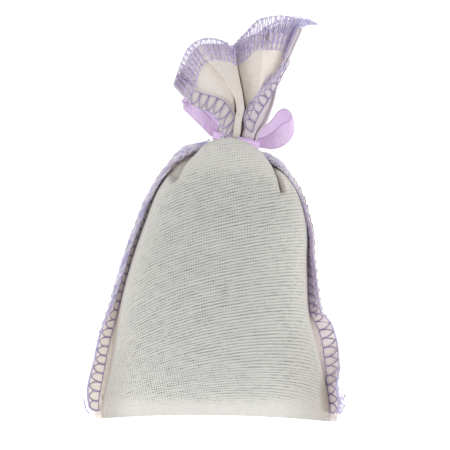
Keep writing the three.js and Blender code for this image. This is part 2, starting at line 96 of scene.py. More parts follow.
# Cloth and its weave
CLOTH = 0.5
LAYER_GAP = 0.3
HALF_GAP = (CLOTH + LAYER_GAP) / 2
BODY_WEFT_PITCH = 0.98
COLLAR_WEFT_PITCH = 1.0
WARP_PITCH = 0.72
WARP_LEAN = 0.14
YARN_WANDER = 0.9
BODY_GAP_SHADE = 0.58
COLLAR_GAP_SHADE = 0.14
YARN_SLOPE = [(0, 3), (45, 13), (100, 15)]
YARN_ARCH = [(0, 9), (25, 8), (70, 6)]
ARCH_HALF_WIDTH = 38

# Bag body: seam outlines, seam height, rise of the front over the seams and drop of the back
STATIONS = [
    ((-36.0, -63.3), (37.0, -64.3), 3.2, 0.5, 0.5),
    ((-35.4, -57.5), (36.5, -57.5), 4.5, 14.0, 5.5),
    ((-33.0, -46.0), (33.8, -46.0), 7.0, 21.5, 9.5),
    ((-30.6, -31.0), (30.2, -31.0), 10.0, 23.0, 13.0),
    ((-27.1, -16.5), (29.6, -16.5), 12.0, 22.0, 15.0),
    ((-21.9, -1.0), (29.5, -1.5), 13.5, 20.5, 15.5),
    ((-17.3, 10.0), (26.0, 9.5), 14.0, 18.0, 14.0),
    ((-9.3, 18.8), (19.4, 16.6), 14.0, 13.5, 9.5),
]
BODY_ROWS = 200
BODY_COLUMNS = 140
FLAP_COLUMNS = 6
ROW_CROWDING = 1.08
SEAM_LENGTH = 108
FOLD_ROUND = 0.6
FOLD_LIFT = 6
FOLD_LIFT_LENGTH = 22
BOTTOM_ARCH = 1.8
ROUNDNESS = {FRONT: 0.45, BACK: 0.5}
LIP_REACH = 4.3
LIP_WAY = np.array((0.08, 1.0, 0.0))
LIP_SPAN = (0.82, 0.94, 0.965, 1.0)
LIP_ROUNDNESS = 0.6

# Lumps of the filling under the cloth and on the filling itself: size, height and seed
CLOTH_LUMPS = [(7.0, 0.28, 1), (2.6, 0.1, 2)]
FILLING_LUMPS = [(2.4, 0.7, 5)]
FILLING_INSET = 3.2
FILLING_ROWS = slice(28, BODY_ROWS - 26, 4)
FILLING_COLUMNS = slice(FLAP_COLUMNS + 18, -FLAP_COLUMNS - 18, 3)
PUCKER_HEIGHT = 0.28
PUCKER_REACH = 3.5
PUCKER_PITCH = 5.1

# Seam allowances from the fold to the neck: how steeply they stand and how they curl, in degrees,
# their width, and how far the needle line lies from their roots
FLAP_LEAN = {
    LEFT: [(0, 8), (0.26, 12), (0.42, 56), (0.5, 62), (0.66, 66), (0.72, 74), (0.8, 72), (0.88, 66), (1, 60)],
    RIGHT: [
        (0, 40), (0.16, 52), (0.23, 26), (0.29, 3), (0.33, 10), (0.385, 50), (0.43, 57),
        (0.48, 64), (0.56, 76), (0.66, 91), (0.78, 91), (0.87, 80), (1, 72),
    ],
}
FLAP_CURL = {
    LEFT: [(0, -2), (0.26, -3), (0.44, -24), (0.8, -26), (1, -10)],
    RIGHT: [(0, -3), (0.3, -2), (0.45, -12), (0.65, -10), (1, -10)],
}
FLAP_WIDTH = {
    LEFT: [(0, 2.0), (0.07, 4.2), (0.17, 5.4), (0.28, 5.0), (0.42, 4.6), (0.9, 4.5), (0.99, 1.2)],
    RIGHT: [
        (0, 2.4), (0.12, 4.4), (0.24, 5.9), (0.31, 6.4), (0.4, 5.6), (0.5, 5.2), (0.6, 4.9), (0.9, 4.9),
        (0.99, 1.2),
    ],
}
NEEDLE_INSET = {
    LEFT: [(0, 0.8), (0.1, 1.5), (0.26, 1.8), (0.4, 0.9), (1, 0.8)],
    RIGHT: [(0, 0.6), (0.14, 0.9), (0.25, 1.7), (0.32, 2.2), (0.4, 1.0), (1, 0.8)],
}
FLAT_CURL = 0.001

# Folds at the shoulders: a line in plan, the side of it that sinks, the way its floor is drawn in and how
# much of its height it loses. Spans are shares along the line and reaches are distances from it.
# Dark is the strength of the painted shade beside each fold, over its shade span and dark reach.
SHOULDER_FOLDS = [
    {
        "line": [(-2.1, 23.6), (-6.4, 18.8), (-8.2, 17.0), (-9.8, 14.3), (-11.0, 11.9), (-13.0, 9.7)],
        "outside": -1,
        "inward": (0.78, -0.63, 0.0),
        "sink": 0.68,
        "sink_span": (0.0, 0.1, 0.8, 1.0),
        "sink_reach": (1.6, 6.0),
        "undercut": 1.3,
        "dark": 0.3,
        "shade_span": (0.0, 0.15, 0.7, 1.0),
        "soft_edge": 0.7,
        "dark_reach": (0.3, 2.0),
        "smooth_reach": (3.5, 5.5),
    },
    {
        "line": [(11.4, 24.2), (14.8, 20.0), (17.6, 16.3), (19.4, 12.0), (20.3, 8.0), (20.4, 6.2)],
        "outside": 1,
        "inward": (-0.9, -0.45, 0.0),
        "sink": 0.5,
        "sink_span": (0.15, 0.4, 0.72, 0.95),
        "sink_reach": (0.7, 2.6),
        "undercut": 1.2,
        "dark": 0.95,
        "shade_span": (0.25, 0.5, 0.74, 0.95),
        "soft_edge": 0.4,
        "dark_reach": (0.3, 1.6),
        "smooth_reach": (2.5, 4.5),
    },
]
SHOULDER_SMOOTH = 0.35
UNDERCUT_SPAN = (0.2, 0.8, 0.8, 2.6)
RIDGE = [(24.6, 11.5), (25.2, 6.0), (25.9, -3.0)]
RIDGE_SPAN = (0.0, 0.3, 0.5, 1.0)
RIDGE_HEIGHT = 0.8
RIDGE_HALF_WIDTH = 1.2

# Shade where the front turns down to its seams: its strength and reach from the fold to the neck
LEFT_SHADE = [(0, 0.5), (0.3, 0.56), (0.5, 0.3), (0.6, 0.16), (0.7, 0.1), (1, 0)]
LEFT_SHADE_REACH = [(0, 2.2), (0.3, 2.0), (0.45, 1.2)]
RIGHT_SHADE = [(0.7, 0.14), (0.8, 0)]
RIGHT_SHADE_REACH = [(0.12, 5.6), (0.26, 1.4)]
CORNER_SHADE = 0.65
CORNER_SPAN = (0.02, 0.06, 0.14, 0.26)
BROAD_SHADE = 0.36
SEAM_SMOOTH = 0.4

# Neck, where the ribbon ties the cloth
NECK_CENTRE = np.array((6.9, 24.5, 14.0))
NECK_WIDTH = 12.6
NECK_DEPTH = 11
NECK_LENGTH = 5.2
NECK_TILT = math.radians(-13.4)
NECK_ACROSS = np.array((math.cos(NECK_TILT), math.sin(NECK_TILT), 0))
NECK_ALONG = np.array((-math.sin(NECK_TILT), math.cos(NECK_TILT), 0))
UNDER_TIE = NECK_ALONG * (NECK_LENGTH / 2 - 0.3)

# Collar above the tie: where its seams leave the neck in degrees, its seams, hems and seam allowances
COLLAR_START = NECK_LENGTH / 2
SEAM_DEGREES = {LEFT: 105, RIGHT: 40}
COLLAR_SEAMS = {
    LEFT: [
        (6.4, 32.0, 19.4), (4.2, 36.4, 18.8), (1.2, 38.4, 18.0), (-2.4, 39.5, 17.0), (-6.6, 41.2, 15.8),
        (-11.4, 45.6, 14.0),
    ],
    RIGHT: [(13.4, 29.8, 18.6), (16.2, 35.6, 17.2), (19.3, 42, 15.6), (22.3, 50, 14), (26.2, 60.4, 12)],
}
COLLAR_SEAM_LENGTHS = {LEFT: 29, RIGHT: 37}
HEMS = {
    FRONT: [
        (-10.4, 48.8, 14.4), (-8.2, 53.2, 15.4), (-4.9, 55.9, 16.6), (-0.9, 56.4, 17.2), (3.0, 55.4, 17.6),
        (5.6, 53.9, 15.4), (7.4, 55.6, 15.4), (9.6, 57.9, 16.0), (14.0, 62.2, 16.8), (18.0, 63.3, 17.0),
        (22.0, 63.5, 16.0), (25.8, 62.4, 13.6),
    ],
    BACK: [
        (-7.2, 49.6, 9), (0, 53.0, 7.4), (6.4, 51.8, 6.6), (11.5, 56.4, 6.8), (17.5, 61.0, 7.2),
        (23, 62.8, 8.6),
    ],
}
COLLAR_FLAP_WAYS = {
    LEFT: [(-0.6, -0.76, 0.3), (-0.54, -0.82, 0.2), (-0.36, -0.92, 0.1), (-0.3, -0.94, 0.1)],
    RIGHT: [(-0.72, 0.45, 0.5), (-0.74, 0.58, 0.34), (-0.4, 0.4, 0.8), (0.12, 0.0, 0.98), (0.25, -0.1, 0.95)],
}
COLLAR_FLAP_WIDTHS = {
    LEFT: [(0, 6.4), (0.2, 6.2), (0.6, 5.6), (0.8, 4.8), (1, 4.4)],
    RIGHT: [(0, 3.6), (0.2, 4.8), (1, 4.8)],
}
COLLAR_ROWS = 60
COLLAR_COLUMNS = 200
COLLAR_LUMPS = {FRONT: [(5.0, 0.2, 4)], BACK: [(5.0, 0.2, 2)]}
BACK_GATHERS = 9
GATHER_DEPTH = [(0, 1.7), (0.5, 1.2), (1, 0.3)]
BACK_BULGE = 2.0
BULGE_SPAN = (0.0, 0.25, 0.35, 0.75)

# Folds of the front collar in plan: the groove between its petals, the left side of the centre tube,
# the crease of the right petal and a fold hidden under the right seam's flap
GROOVE = [(6.4, 56.5), (7.1, 48.7), (8.0, 44.3), (8.9, 39.9), (9.7, 34.5), (8.8, 30.0), (8.4, 26.0)]
TUBE_LEFT = [(-1.2, 48.7), (3.2, 43.6), (6.4, 37.8), (6.9, 33.9), (5.6, 29.5), (4.6, 26.0)]
CREASE = [(16.0, 56.0), (15.4, 50.9), (14.6, 40.6), (13.2, 37.0)]
HIDDEN_FOLD = [(18.0, 43.0), (14.6, 36.0), (12.0, 30.0), (11.0, 26.0)]
TUBE_HEIGHT = [(0, 0.5), (0.25, 1.3), (0.6, 1.9), (1, 1.6)]
TUBE_ROUNDNESS = 0.6
CREASE_DIP = 2.8
CREASE_HEIGHT = 0.5
CREASE_HALF_WIDTH = 0.8
GROOVE_DEPTH = 6.4
GROOVE_HALF_WIDTH = 0.32
TUBE_SIDE_DEPTH = 6.2
TUBE_SIDE_HALF_WIDTH = 0.34
TUBE_SLOPE_DEPTH = 0.9
TUBE_SLOPE_HALF_WIDTH = 2.2
HIDDEN_DEPTH = 6.0
HIDDEN_HALF_WIDTH = 0.45

# Marks on the front collar where thread and shadow darken it: centre, strength, sizes of shade and tint
COLLAR_MARKS = [
    ((16.0, 57.0), 0.8, (1.5, 2.6), (2.0, 3.0)),
    ((-10.6, 43.2), 0.55, (2.8, 3.4), (3.6, 4.4)),
]
HEM_TINT = 0.55
BACK_TINT = 0.45
HIDDEN_TINT = 0.7
FLAP_TINTS = {LEFT: 0.2, RIGHT: 0.6}
CLOTH_SETBACK = {FRONT: 0.4, BACK: 0.8}
PETAL_SETBACK = {LEFT: 0.7, RIGHT: 3.2}

# Overlock stitching
SEAM_PITCH = 3
HEM_PITCH = 1.75
HEM_WIDTH = [(0, 5.2), (0.3, 5.0), (0.46, 3.8), (0.56, 5.0), (0.66, 6.4), (0.8, 7.6), (1, 7.4)]
HEM_SPANS = {FRONT: (-0.95, 1.95), BACK: (0.012, 0.988)}
STITCHED_SPAN = (0.035, 0.985)
COLLAR_STITCH_START = 0.05
SEAM_HALF = CLOTH + LAYER_GAP / 2
COLLAR_SEAM_HALF = SEAM_HALF + 0.2
HEM_HALF = CLOTH / 2 + 0.15
ALLOWANCE = 4.8
THREAD_RADIUS = 0.17
COLLAR_NEEDLE = [(0, 0.8), (1, 0.8)]
HEM_NEEDLE = [(0, 0), (1, 0)]
SECOND_NEEDLE = 2.3
NEEDLE_DIP = 0.05
NEEDLE_LIFT = 0.15
LOOPER_OVERHANG = 0.35
LOOPER_WANDER = {"upper": 0.1, "lower": 0.06}
LOOPER_TURNS = (0.56, 0.44)
LOOPER_TURN_INSET = 0.2
LEG_START = {"over": 0.1, "under": 0.7}
ROPE_INSET = 0.8
ROPE_WANDER = 0.16
CORE_INSET = 0.28
STRAND_TWIST = 1.2
STRAND_JITTER = 0.4
STRAND_REACH = (0.7, 1.05)
WRAP_STEPS = np.array([-0.34, -0.2, 0.0, 0.2, 0.34])
WRAP_INWARD = np.array([-2.6, -1.2, 0.2, -1.2, -2.6])
WRAP_LIFT = np.array([1.0, 0.9, 0.0, -0.9, -1.0])
WRAP_THICKENING = 2.2

# Each run's threads: the radius, where the looper's legs part, the needle lines, where thread wraps the
# edge, and the rope of strands round the edge with its radius along the run. Deep and painted light follow y.
PLAIN_STITCH = {"radius": 0.13, "needles": [0.0], "wraps": (0, 0), "strand": 0.15, "core": True}
LEFT_SEAM_STITCH = {
    **PLAIN_STITCH,
    "split": 0.42,
    "strands": 26,
    "rope": [(0, 0.4), (0.36, 0.4), (0.47, 0.8), (0.78, 0.85), (0.9, 1.4), (1, 1.3)],
    "deep": [(-34, 0.45), (-20, 0.05)],
    "painted_light": [(4, 0), (16, 0.8)],
}
RIGHT_SEAM_STITCH = {
    **PLAIN_STITCH,
    "split": 0.4,
    "wraps": (0.36, 0.82),
    "strands": 20,
    "rope": [(0, 0.45), (0.34, 0.3), (0.4, 0.15), (0.76, 0.18), (0.87, 1.1), (1, 1.1)],
    "deep": [(-28, 0.4), (-20, 0.8), (2, 0.8), (12, 0.05)],
    "painted_light": [(4, 0), (14, 0.8)],
}
COLLAR_SEAM_STITCH = {
    **PLAIN_STITCH,
    "radius": 0.14,
    "split": 0.5,
    "strand": 0.14,
    "strands": 5,
    "rope": [(0, 0.3), (1, 0.3)],
    "deep": [(0, 0.2), (1, 0.2)],
    "painted_light": [(0, 0), (1, 0)],
}
HEM_STITCH = {
    **PLAIN_STITCH,
    "radius": 0.125,
    "split": 0.55,
    "needles": [0.0, SECOND_NEEDLE],
    "strand": 0.1,
    "strands": 4,
    "core": False,
    "rope": [(-1, 0.3), (2, 0.3)],
    "deep": [(0, 0), (1, 0)],
    "painted_light": [(54, 0), (60, 0.4)],
}

# Loose thread: a line, the number of fibres, and how far they spread at its start and end
LOOSE_THREAD = {
    "hem_chain_tail": (
        [(24.6, 61.2, 13.0), (26.4, 61.6, 12.6), (28.6, 61.9, 12.2), (30.8, 61.8, 11.6), (32.6, 61.3, 11.0)],
        26, 1.5, 0.1,
    ),
    "left_thread_end": (
        [(-38.6, -62.6, 3.4), (-40.2, -62.4, 3.0), (-41.2, -60.4, 2.6), (-41.7, -57.6, 2.2)], 3, 0.35, 0.15,
    ),
    "right_thread_end": (
        [(39.6, -62.8, 3.4), (40.8, -61.6, 3.0), (40.6, -58.8, 2.6), (41.0, -56.4, 2.2)], 7, 0.3, 0.7,
    ),
}
FIBRE_RADIUS = 0.09
FIBRE_POINTS = 14
FIBRE_CURL = 0.45

# Ribbon and bow
RIBBON_WIDTH = 6
RIBBON_THICKNESS = 0.35
FLOAT_PITCH = 0.22
PICK_PITCH = 0.35
WRAP_HEIGHT = 2.2
WRAP_OPENING = 24
WRAP_GROW = 1.1
WRAP_RIPPLE = 0.22
KNOT_WIDTH = 6
KNOT_RADIUS = 2.3
KNOT_FLATNESS = 0.85
KNOT_CENTRE = np.array((6.9, 24.5, 4.85))
PINCHED_WIDTH = 1.4
LOOP_CUP = 0.35
TAIL_LENGTH = 24
TAIL_SPLAY = math.radians(12)
TAIL_ROOT_SPREAD = 1.5
TAIL_ROOT_GAP = 0.25
TAIL_SLANT = 2.5
TAIL_WIDENING = 8.4
TAIL_FALL = 6
TAIL_ROOT_HEIGHT = 3.87
TAIL_REST_HEIGHT = 1.45
TAIL_WAVE = 0.2

# The two edges of each bow loop, out from the knot and back to it
LOOP_EDGES = {
    "right_loop": (
        [
            (11.2, 23.0, 5.6), (15.5, 22.2, 7.5), (18.5, 21.8, 8.2), (21.5, 22.6, 8.8),
            (24.2, 24.9, 8.8), (25.5, 28.0, 8.0), (24.6, 29.6, 6.0), (22.5, 29.6, 4.8),
            (20.0, 28.0, 4.2), (17.5, 26.5, 4.0), (14.5, 25.3, 4.2), (11.2, 24.2, 4.6),
        ],
        [
            (11.8, 25.4, 6.2), (14.8, 25.3, 7.4), (17.2, 26.3, 9.4), (19.4, 28.0, 11.2),
            (21.6, 29.8, 12.0), (24.2, 31.0, 12.0), (24.3, 33.4, 10.0), (22.2, 34.7, 8.4),
            (20.3, 33.8, 7.4), (18.4, 31.2, 6.6), (15.8, 29.0, 5.6), (11.6, 26.4, 5.4),
        ],
    ),
    "left_loop": (
        [
            (2.6, 24.6, 5.4), (-0.8, 25.8, 6.6), (-4.6, 29.6, 6.8), (-7.8, 32.8, 6.4), (-9.7, 35.0, 6.2),
            (-9.2, 36.2, 5.2), (-6.5, 34.8, 4.2), (-3.5, 31.6, 3.8), (-0.5, 28.8, 3.8), (2.8, 26.6, 4.4),
        ],
        [
            (2.4, 26.8, 6.6), (-1.0, 31.6, 7.8), (-4.6, 35.0, 9.6), (-7.6, 37.2, 10.0), (-10.0, 36.6, 11.4),
            (-9.6, 37.6, 9.6), (-7.0, 37.4, 8.2), (-3.6, 35.2, 7.4), (-0.4, 32.2, 6.4), (3.0, 28.6, 5.6),
        ],
    ),
}

random = np.random.default_rng(11)


def unit(vectors):
    vectors = np.asarray(vectors, float)
    return vectors / np.maximum(np.linalg.norm(vectors, axis=-1, keepdims=True), 1e-9)


def length(vectors):
    return np.linalg.norm(vectors, axis=-1)


def ramp(value, low, high):
    """A smooth rise from 0 to 1 between two values."""
    share = np.clip((np.asarray(value, float) - low) / (high - low), 0, 1)
    return share * share * (3 - 2 * share)


def window(value, start, full, fall, end):
    """1 between full and fall, with a smooth rise from start and a smooth drop to the end."""
    return ramp(value, start, full) * (1 - ramp(value, fall, end))


def hump(distance, half_width):
    """A smooth hump, 1 where the distance is 0."""
    return np.exp(-((distance / half_width) ** 2))


def eased(value, knots):
    """A smooth value between knots of (place, value)."""
    places, values = zip(*knots)
    total = np.full(np.shape(value), float(values[0]))
    for i in range(len(knots) - 1):
        total = total + (values[i + 1] - values[i]) * ramp(value, places[i], places[i + 1])
    return total


def lengths_along(points, axis=0):
    """Length from the first point to each one, along an axis of the array."""
    steps = length(np.diff(points, axis=axis))
    padding = [(0, 0)] * steps.ndim
    padding[axis] = (1, 0)
    return np.pad(np.cumsum(steps, axis=axis), padding)


class Curve:
    """A centripetal Catmull-Rom curve through a few points."""

    def __init__(self, points):
        points = np.array(points, float)
        first = 2 * points[0] - points[1]
        last = 2 * points[-1] - points[-2]
        self.points = np.vstack([first, points, last])
        self.spans = len(points) - 1
        self.gaps = np.linalg.norm(np.diff(self.points, axis=0), axis=1) ** 0.5

    def at(self, shares):
        place = np.clip(np.asarray(shares, float), 0, 1) * self.spans
        i = np.minimum(place.astype(int), self.spans - 1)
        t = (place - i)[..., None]
        p0, p1, p2, p3 = (self.points[i + k] for k in range(4))
        d0, d1, d2 = (self.gaps[i + k][..., None] for k in range(3))
        start = ((p1 - p0) / d0 - (p2 - p0) / (d0 + d1) + (p2 - p1) / d1) * d1
        end = ((p2 - p1) / d1 - (p3 - p1) / (d1 + d2) + (p3 - p2) / d2) * d1
        square = 3 * (p2 - p1) - 2 * start - end
        cube = 2 * (p1 - p2) + start + end
        return p1 + t * (start + t * (square + t * cube))

    def tangent(self, shares):
        shares = np.asarray(shares, float)
        step = 1e-4
        return unit(self.at(shares + step) - self.at(shares - step))


def smooth_path(points, cuts):
    return Curve(points).at(np.linspace(0, 1, (len(points) - 1) * cuts + 1))


def lumps(points, layers):
    """Smooth bumps at points, in layers of (size, height, seed)."""
    total = 0
    for size, height, seed in layers:
        flat = np.reshape(points, (-1, 3)) / size
        shift = Vector((seed * 17.3, seed * 9.1, seed * 5.7))
        values = [noise.noise(Vector(point) + shift) for point in flat]
        total = total + np.reshape(values, np.shape(points)[:-1]) * height
    return total


def line_distance(points, line):
    """Distance in plan from points to a line, which side each lies on, and the share along it."""
    path = np.array(line, float)
    flat = points[..., :2]
    best = np.full(flat.shape[:-1], 1e9)
    side = np.zeros(flat.shape[:-1])
    along = np.zeros(flat.shape[:-1])
    for i in range(len(path) - 1):
        step = path[i + 1] - path[i]
        t = np.clip(((flat - path[i]) @ step) / (step @ step), 0, 1)
        offset = flat - path[i] - t[..., None] * step
        distance = length(offset)
        nearer = distance < best
        best = np.where(nearer, distance, best)
        side = np.where(nearer, np.sign(step[0] * offset[..., 1] - step[1] * offset[..., 0]), side)
        along = np.where(nearer, (i + t) / (len(path) - 1), along)
    return best, side, along


def spot(points, centre, size):
    """A soft mark in plan, 1 at its centre."""
    return hump(points[..., 0] - centre[0], size[0]) * hump(points[..., 1] - centre[1], size[1])


# Meshes

def add_object(name, data):
    made = bpy.data.objects.new(name, data)
    bpy.context.scene.collection.objects.link(made)
    return made


def make_object(name, points, faces, material, weave=None, layers=None):
    mesh = bpy.data.meshes.new(name)
    mesh.from_pydata((np.asarray(points) * MM).tolist(), [], faces)
    mesh.validate()
    if weave is not None:
        corners = np.zeros(len(mesh.loops), np.int32)
        mesh.loops.foreach_get("vertex_index", corners)
        uv = mesh.uv_layers.new(name="weave")
        uv.data.foreach_set("uv", np.asarray(weave, np.float32)[corners].ravel())
    for key, values in (layers or {}).items():
        attribute = mesh.attributes.new(key, "FLOAT", "POINT")
        attribute.data.foreach_set("value", np.asarray(values, np.float32))
    mesh.polygons.foreach_set("use_smooth", np.ones(len(mesh.polygons), bool))
    mesh.materials.append(material)
    return add_object(name, mesh)


def dress(piece, body, slot, *nodes):
    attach(piece, body)
    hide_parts(*nodes)


def grid_normals(grid):
    across = np.gradient(grid, axis=1)
    along = np.gradient(grid, axis=0)
    return unit(np.cross(across, along))


def strip_faces(first, second):
    """Faces between two rows of point numbers."""
    return np.stack([first[:-1], first[1:], second[1:], second[:-1]], axis=1).tolist()


def thick_sheet(grid, thickness):
    """Points and faces of a closed sheet whose middle surface is the grid."""
    rows, columns = grid.shape[:2]
    offset = grid_normals(grid) * thickness / 2
    points = np.concatenate([(grid + offset).reshape(-1, 3), (grid - offset).reshape(-1, 3)])
    upper = np.arange(rows * columns).reshape(rows, columns)
    lower = upper + rows * columns
    left = strip_faces(upper[:, 0], lower[:, 0])
    right = strip_faces(lower[:, -1], upper[:, -1])
    faces = []
    for r in range(rows - 1):
        for pair in zip(strip_faces(upper[r], upper[r + 1]), strip_faces(lower[r + 1], lower[r])):
            faces += pair
        faces += [left[r], right[r]]
    for pair in zip(strip_faces(lower[0], upper[0]), strip_faces(upper[-1], lower[-1])):
        faces += pair
    return points, faces


def closed_skin(rings):
    """Points and faces of a closed skin over rings of points."""
    count, sides = rings.shape[:2]
    numbers = np.arange(count * sides).reshape(count, sides)
    looped = np.concatenate([numbers, numbers[:, :1]], axis=1)
    faces = []
    for r in range(count - 1):
        faces += strip_faces(looped[r], looped[r + 1])
    faces.append(numbers[0, ::-1].tolist())
    faces.append(numbers[-1].tolist())
    return rings.reshape(-1, 3), faces


def tube(path, radius, sides=6):
    """Points and faces of a closed thread along a path, with one radius or one at each point."""
    path = np.asarray(path, float)
    radii = np.broadcast_to(radius, len(path))
    tangents = unit(np.gradient(path, axis=0))
    side = unit(np.cross(UP, tangents[0]) + 1e-6)
    angles = np.linspace(0, 2 * math.pi, sides, endpoint=False)
    rings = []
    for point, tangent, size in zip(path, tangents, radii):
        side = unit(side - tangent * (side @ tangent))
        other = np.cross(tangent, side)
        rings.append(point + size * (np.cos(angles)[:, None] * side + np.sin(angles)[:, None] * other))
    return closed_skin(np.array(rings))


def join_parts(parts):
    """Points and faces of several closed bodies as one mesh."""
    points = []
    faces = []
    count = 0
    for part_points, part_faces in parts:
        points.append(part_points)
        faces.extend([i + count for i in face] for face in part_faces)
        count += len(part_points)
    return np.concatenate(points), faces


# Materials

def linear_colour(shown):
    """A display colour of 0 to 255 as a linear one."""
    levels = np.array(shown) / 255
    linear = np.where(levels <= 0.04045, levels / 12.92, ((levels + 0.055) / 1.055) ** 2.4)
    return (*linear, 1.0)


class Finish:
    """A material's nodes, with short calls to add them. A tuple stands for a display colour."""

    def __init__(self, name):
        self.material = bpy.data.materials.new(name)
        self.material.use_nodes = True
        self.tree = self.material.node_tree
        self.surface = self.tree.nodes["Principled BSDF"].inputs

    def node(self, kind, *values, **settings):
        node = self.tree.nodes.new(f"ShaderNode{kind}")
        for key, value in settings.items():
            setattr(node, key, value)
        for socket, value in zip(node.inputs, values):
            self.feed(socket, value)
        return node

    def feed(self, socket, value):
        if isinstance(value, bpy.types.NodeSocket):
            self.tree.links.new(value, socket)
        else:
            socket.default_value = linear_colour(value) if isinstance(value, tuple) else value

    def coat(self, values):
        for name, value in values.items():
            self.feed(self.surface[name], value)

    def times(self, first, second):
        return self.node("Math", first, second, operation="MULTIPLY").outputs[0]

    def add_share(self, value, share, base):
        return self.node("Math", value, share, base, operation="MULTIPLY_ADD").outputs[0]

    def wave(self, value, pitch):
        return self.node("Math", self.times(value, 2 * math.pi / pitch), operation="SINE").outputs[0]

    def range(self, value, low, high, to_low=0.0, to_high=1.0):
        return self.node("MapRange", value, low, high, to_low, to_high).outputs[0]

    def mix(self, share, first, second):
        node = self.node("Mix", data_type="RGBA")
        for place, value in ((0, share), (6, first), (7, second)):
            self.feed(node.inputs[place], value)
        return node.outputs[2]

    def noise(self, vector, scale, detail=2.0):
        node = self.node("TexNoise", vector)
        node.inputs["Scale"].default_value = scale
        node.inputs["Detail"].default_value = detail
        return node.outputs[0]

    def streaks(self, place, across, along, detail=2.0):
        """Noise over the woven coordinates, stretched by these shares."""
        node = self.node("VectorMath", place, operation="MULTIPLY")
        node.inputs[1].default_value = (across, along, 1)
        return self.noise(node.outputs[0], 1.0, detail)

    def attribute(self, name):
        return self.node("Attribute", attribute_name=name).outputs["Fac"]

    def weave_place(self):
        return self.node("UVMap", uv_map="weave").outputs[0]

    def object_place(self):
        return self.node("TexCoord").outputs["Object"]

    def bump(self, height, distance, strength):
        node = self.node("Bump")
        node.inputs["Strength"].default_value = strength
        node.inputs["Distance"].default_value = distance * MM
        self.feed(node.inputs["Height"], height)
        self.feed(self.surface["Normal"], node.outputs[0])


def weave_gaps(finish, place, weft_pitch):
    """The dark gaps between the yarns of a plain weave, over the cloth's own coordinates."""
    across, along, _ = finish.node("SeparateXYZ", place).outputs
    along = finish.add_share(finish.streaks(place, 0.06, 0.35, 3.0), YARN_WANDER, along)
    along = finish.add_share(finish.streaks(place, 0.45, 0.9), 0.6 * YARN_WANDER, along)
    across = finish.add_share(finish.streaks(place, 0.4, 0.08), YARN_WANDER, across)
    across = finish.add_share(along, WARP_LEAN, across)
    furrow = finish.range(finish.wave(along, weft_pitch), -0.1, -0.95)
    slot = finish.range(finish.wave(across, WARP_PITCH), 0.5, -0.5)
    gap = finish.times(furrow, finish.add_share(slot, 1.9, 0.1))
    gap = finish.add_share(slot, 0.25, gap)
    tightness = finish.streaks(place, 0.5, 1.3)
    return finish.times(gap, finish.range(tightness, 0.3, 0.7, 0.35, 1.35))


def cotton_finish(name, light, filled, gap_shade, weft_pitch):
    """Plain-weave cotton: greyer where the filling lies under it and, on the collar, where shade is painted
    on a facet; darker between the yarns.
    """
    finish = Finish(name)
    place = finish.weave_place()
    gap = weave_gaps(finish, place, weft_pitch)
    # Greyer where the filling shows through the body, and painted shade on the collar
    filling_and_shade = finish.attribute("filling_and_shade")
    base = finish.mix(filling_and_shade, light, filled)
    buds = finish.times(finish.range(finish.noise(place, 0.16), 0.5, 0.75, 0, 0.35), filling_and_shade)
    base = finish.mix(buds, base, BUDS_BELOW)
    thick = finish.range(finish.streaks(place, 0.12, 1.1, 3.0), 0.35, 0.75, 0, 0.3)
    base = finish.mix(thick, base, THICK_YARN)
    patches = finish.range(finish.noise(place, 0.3), 0.3, 0.7, 0.5, 1)
    shade = finish.times(patches, finish.range(filling_and_shade, 0.1, 0.5, 0.4, 1))
    base = finish.mix(finish.times(finish.times(gap, gap_shade), shade), base, WEAVE_GAP)
    # Plain cream of seam allowances and smooth cloth, and painted light on the collar's right petal
    base = finish.mix(finish.attribute("flap"), base, PLAIN_CREAM_AND_PAINTED_LIGHT)
    base = finish.mix(finish.attribute("tint"), base, LILAC_TINT)
    # Painted shade: brown where folds, crevices, hollows and corners keep the light out
    base = finish.mix(finish.times(finish.attribute("painted_shade"), 0.9), base, FOLD_SHADE)
    finish.coat({"Base Color": base, "Roughness": 0.92, "Specular IOR Level": 0.2})
    finish.coat({"Sheen Weight": 0.1, "Sheen Roughness": 0.5})
    height = finish.node("Math", 1.0, gap, operation="SUBTRACT").outputs[0]
    finish.bump(height, 0.12, 0.5)
    return finish.material


def thread_finish(name):
    """Spun thread: two shades and a soft sheen, deeper where it is marked, with painted light where it is
    marked lighter.
    """
    finish = Finish(name)
    place = finish.object_place()
    pale, deep = YARN_SHADES[name]
    fibre = finish.noise(place, 3200)
    base = finish.mix(finish.range(finish.noise(place, 800), 0.35, 0.65), deep, pale)
    base = finish.mix(finish.range(fibre, 0.3, 0.7, 0, 0.3), base, FIBRE)
    base = finish.mix(finish.attribute("deep"), base, DEEP_THREAD)
    # Painted light: lighter thread where it is marked, towards the top of the bag
    base = finish.mix(finish.attribute("painted_light"), base, PAINTED_LIGHT_THREAD)
    streak = finish.range(finish.attribute("streak"), 0.45, 1, 0, 0.6)
    base = finish.mix(streak, base, STREAKED_THREAD)
    finish.coat({"Base Color": base, "Roughness": 0.65, "Sheen Weight": 0.25})
    finish.bump(fibre, 0.05, 0.5)
    return finish.material


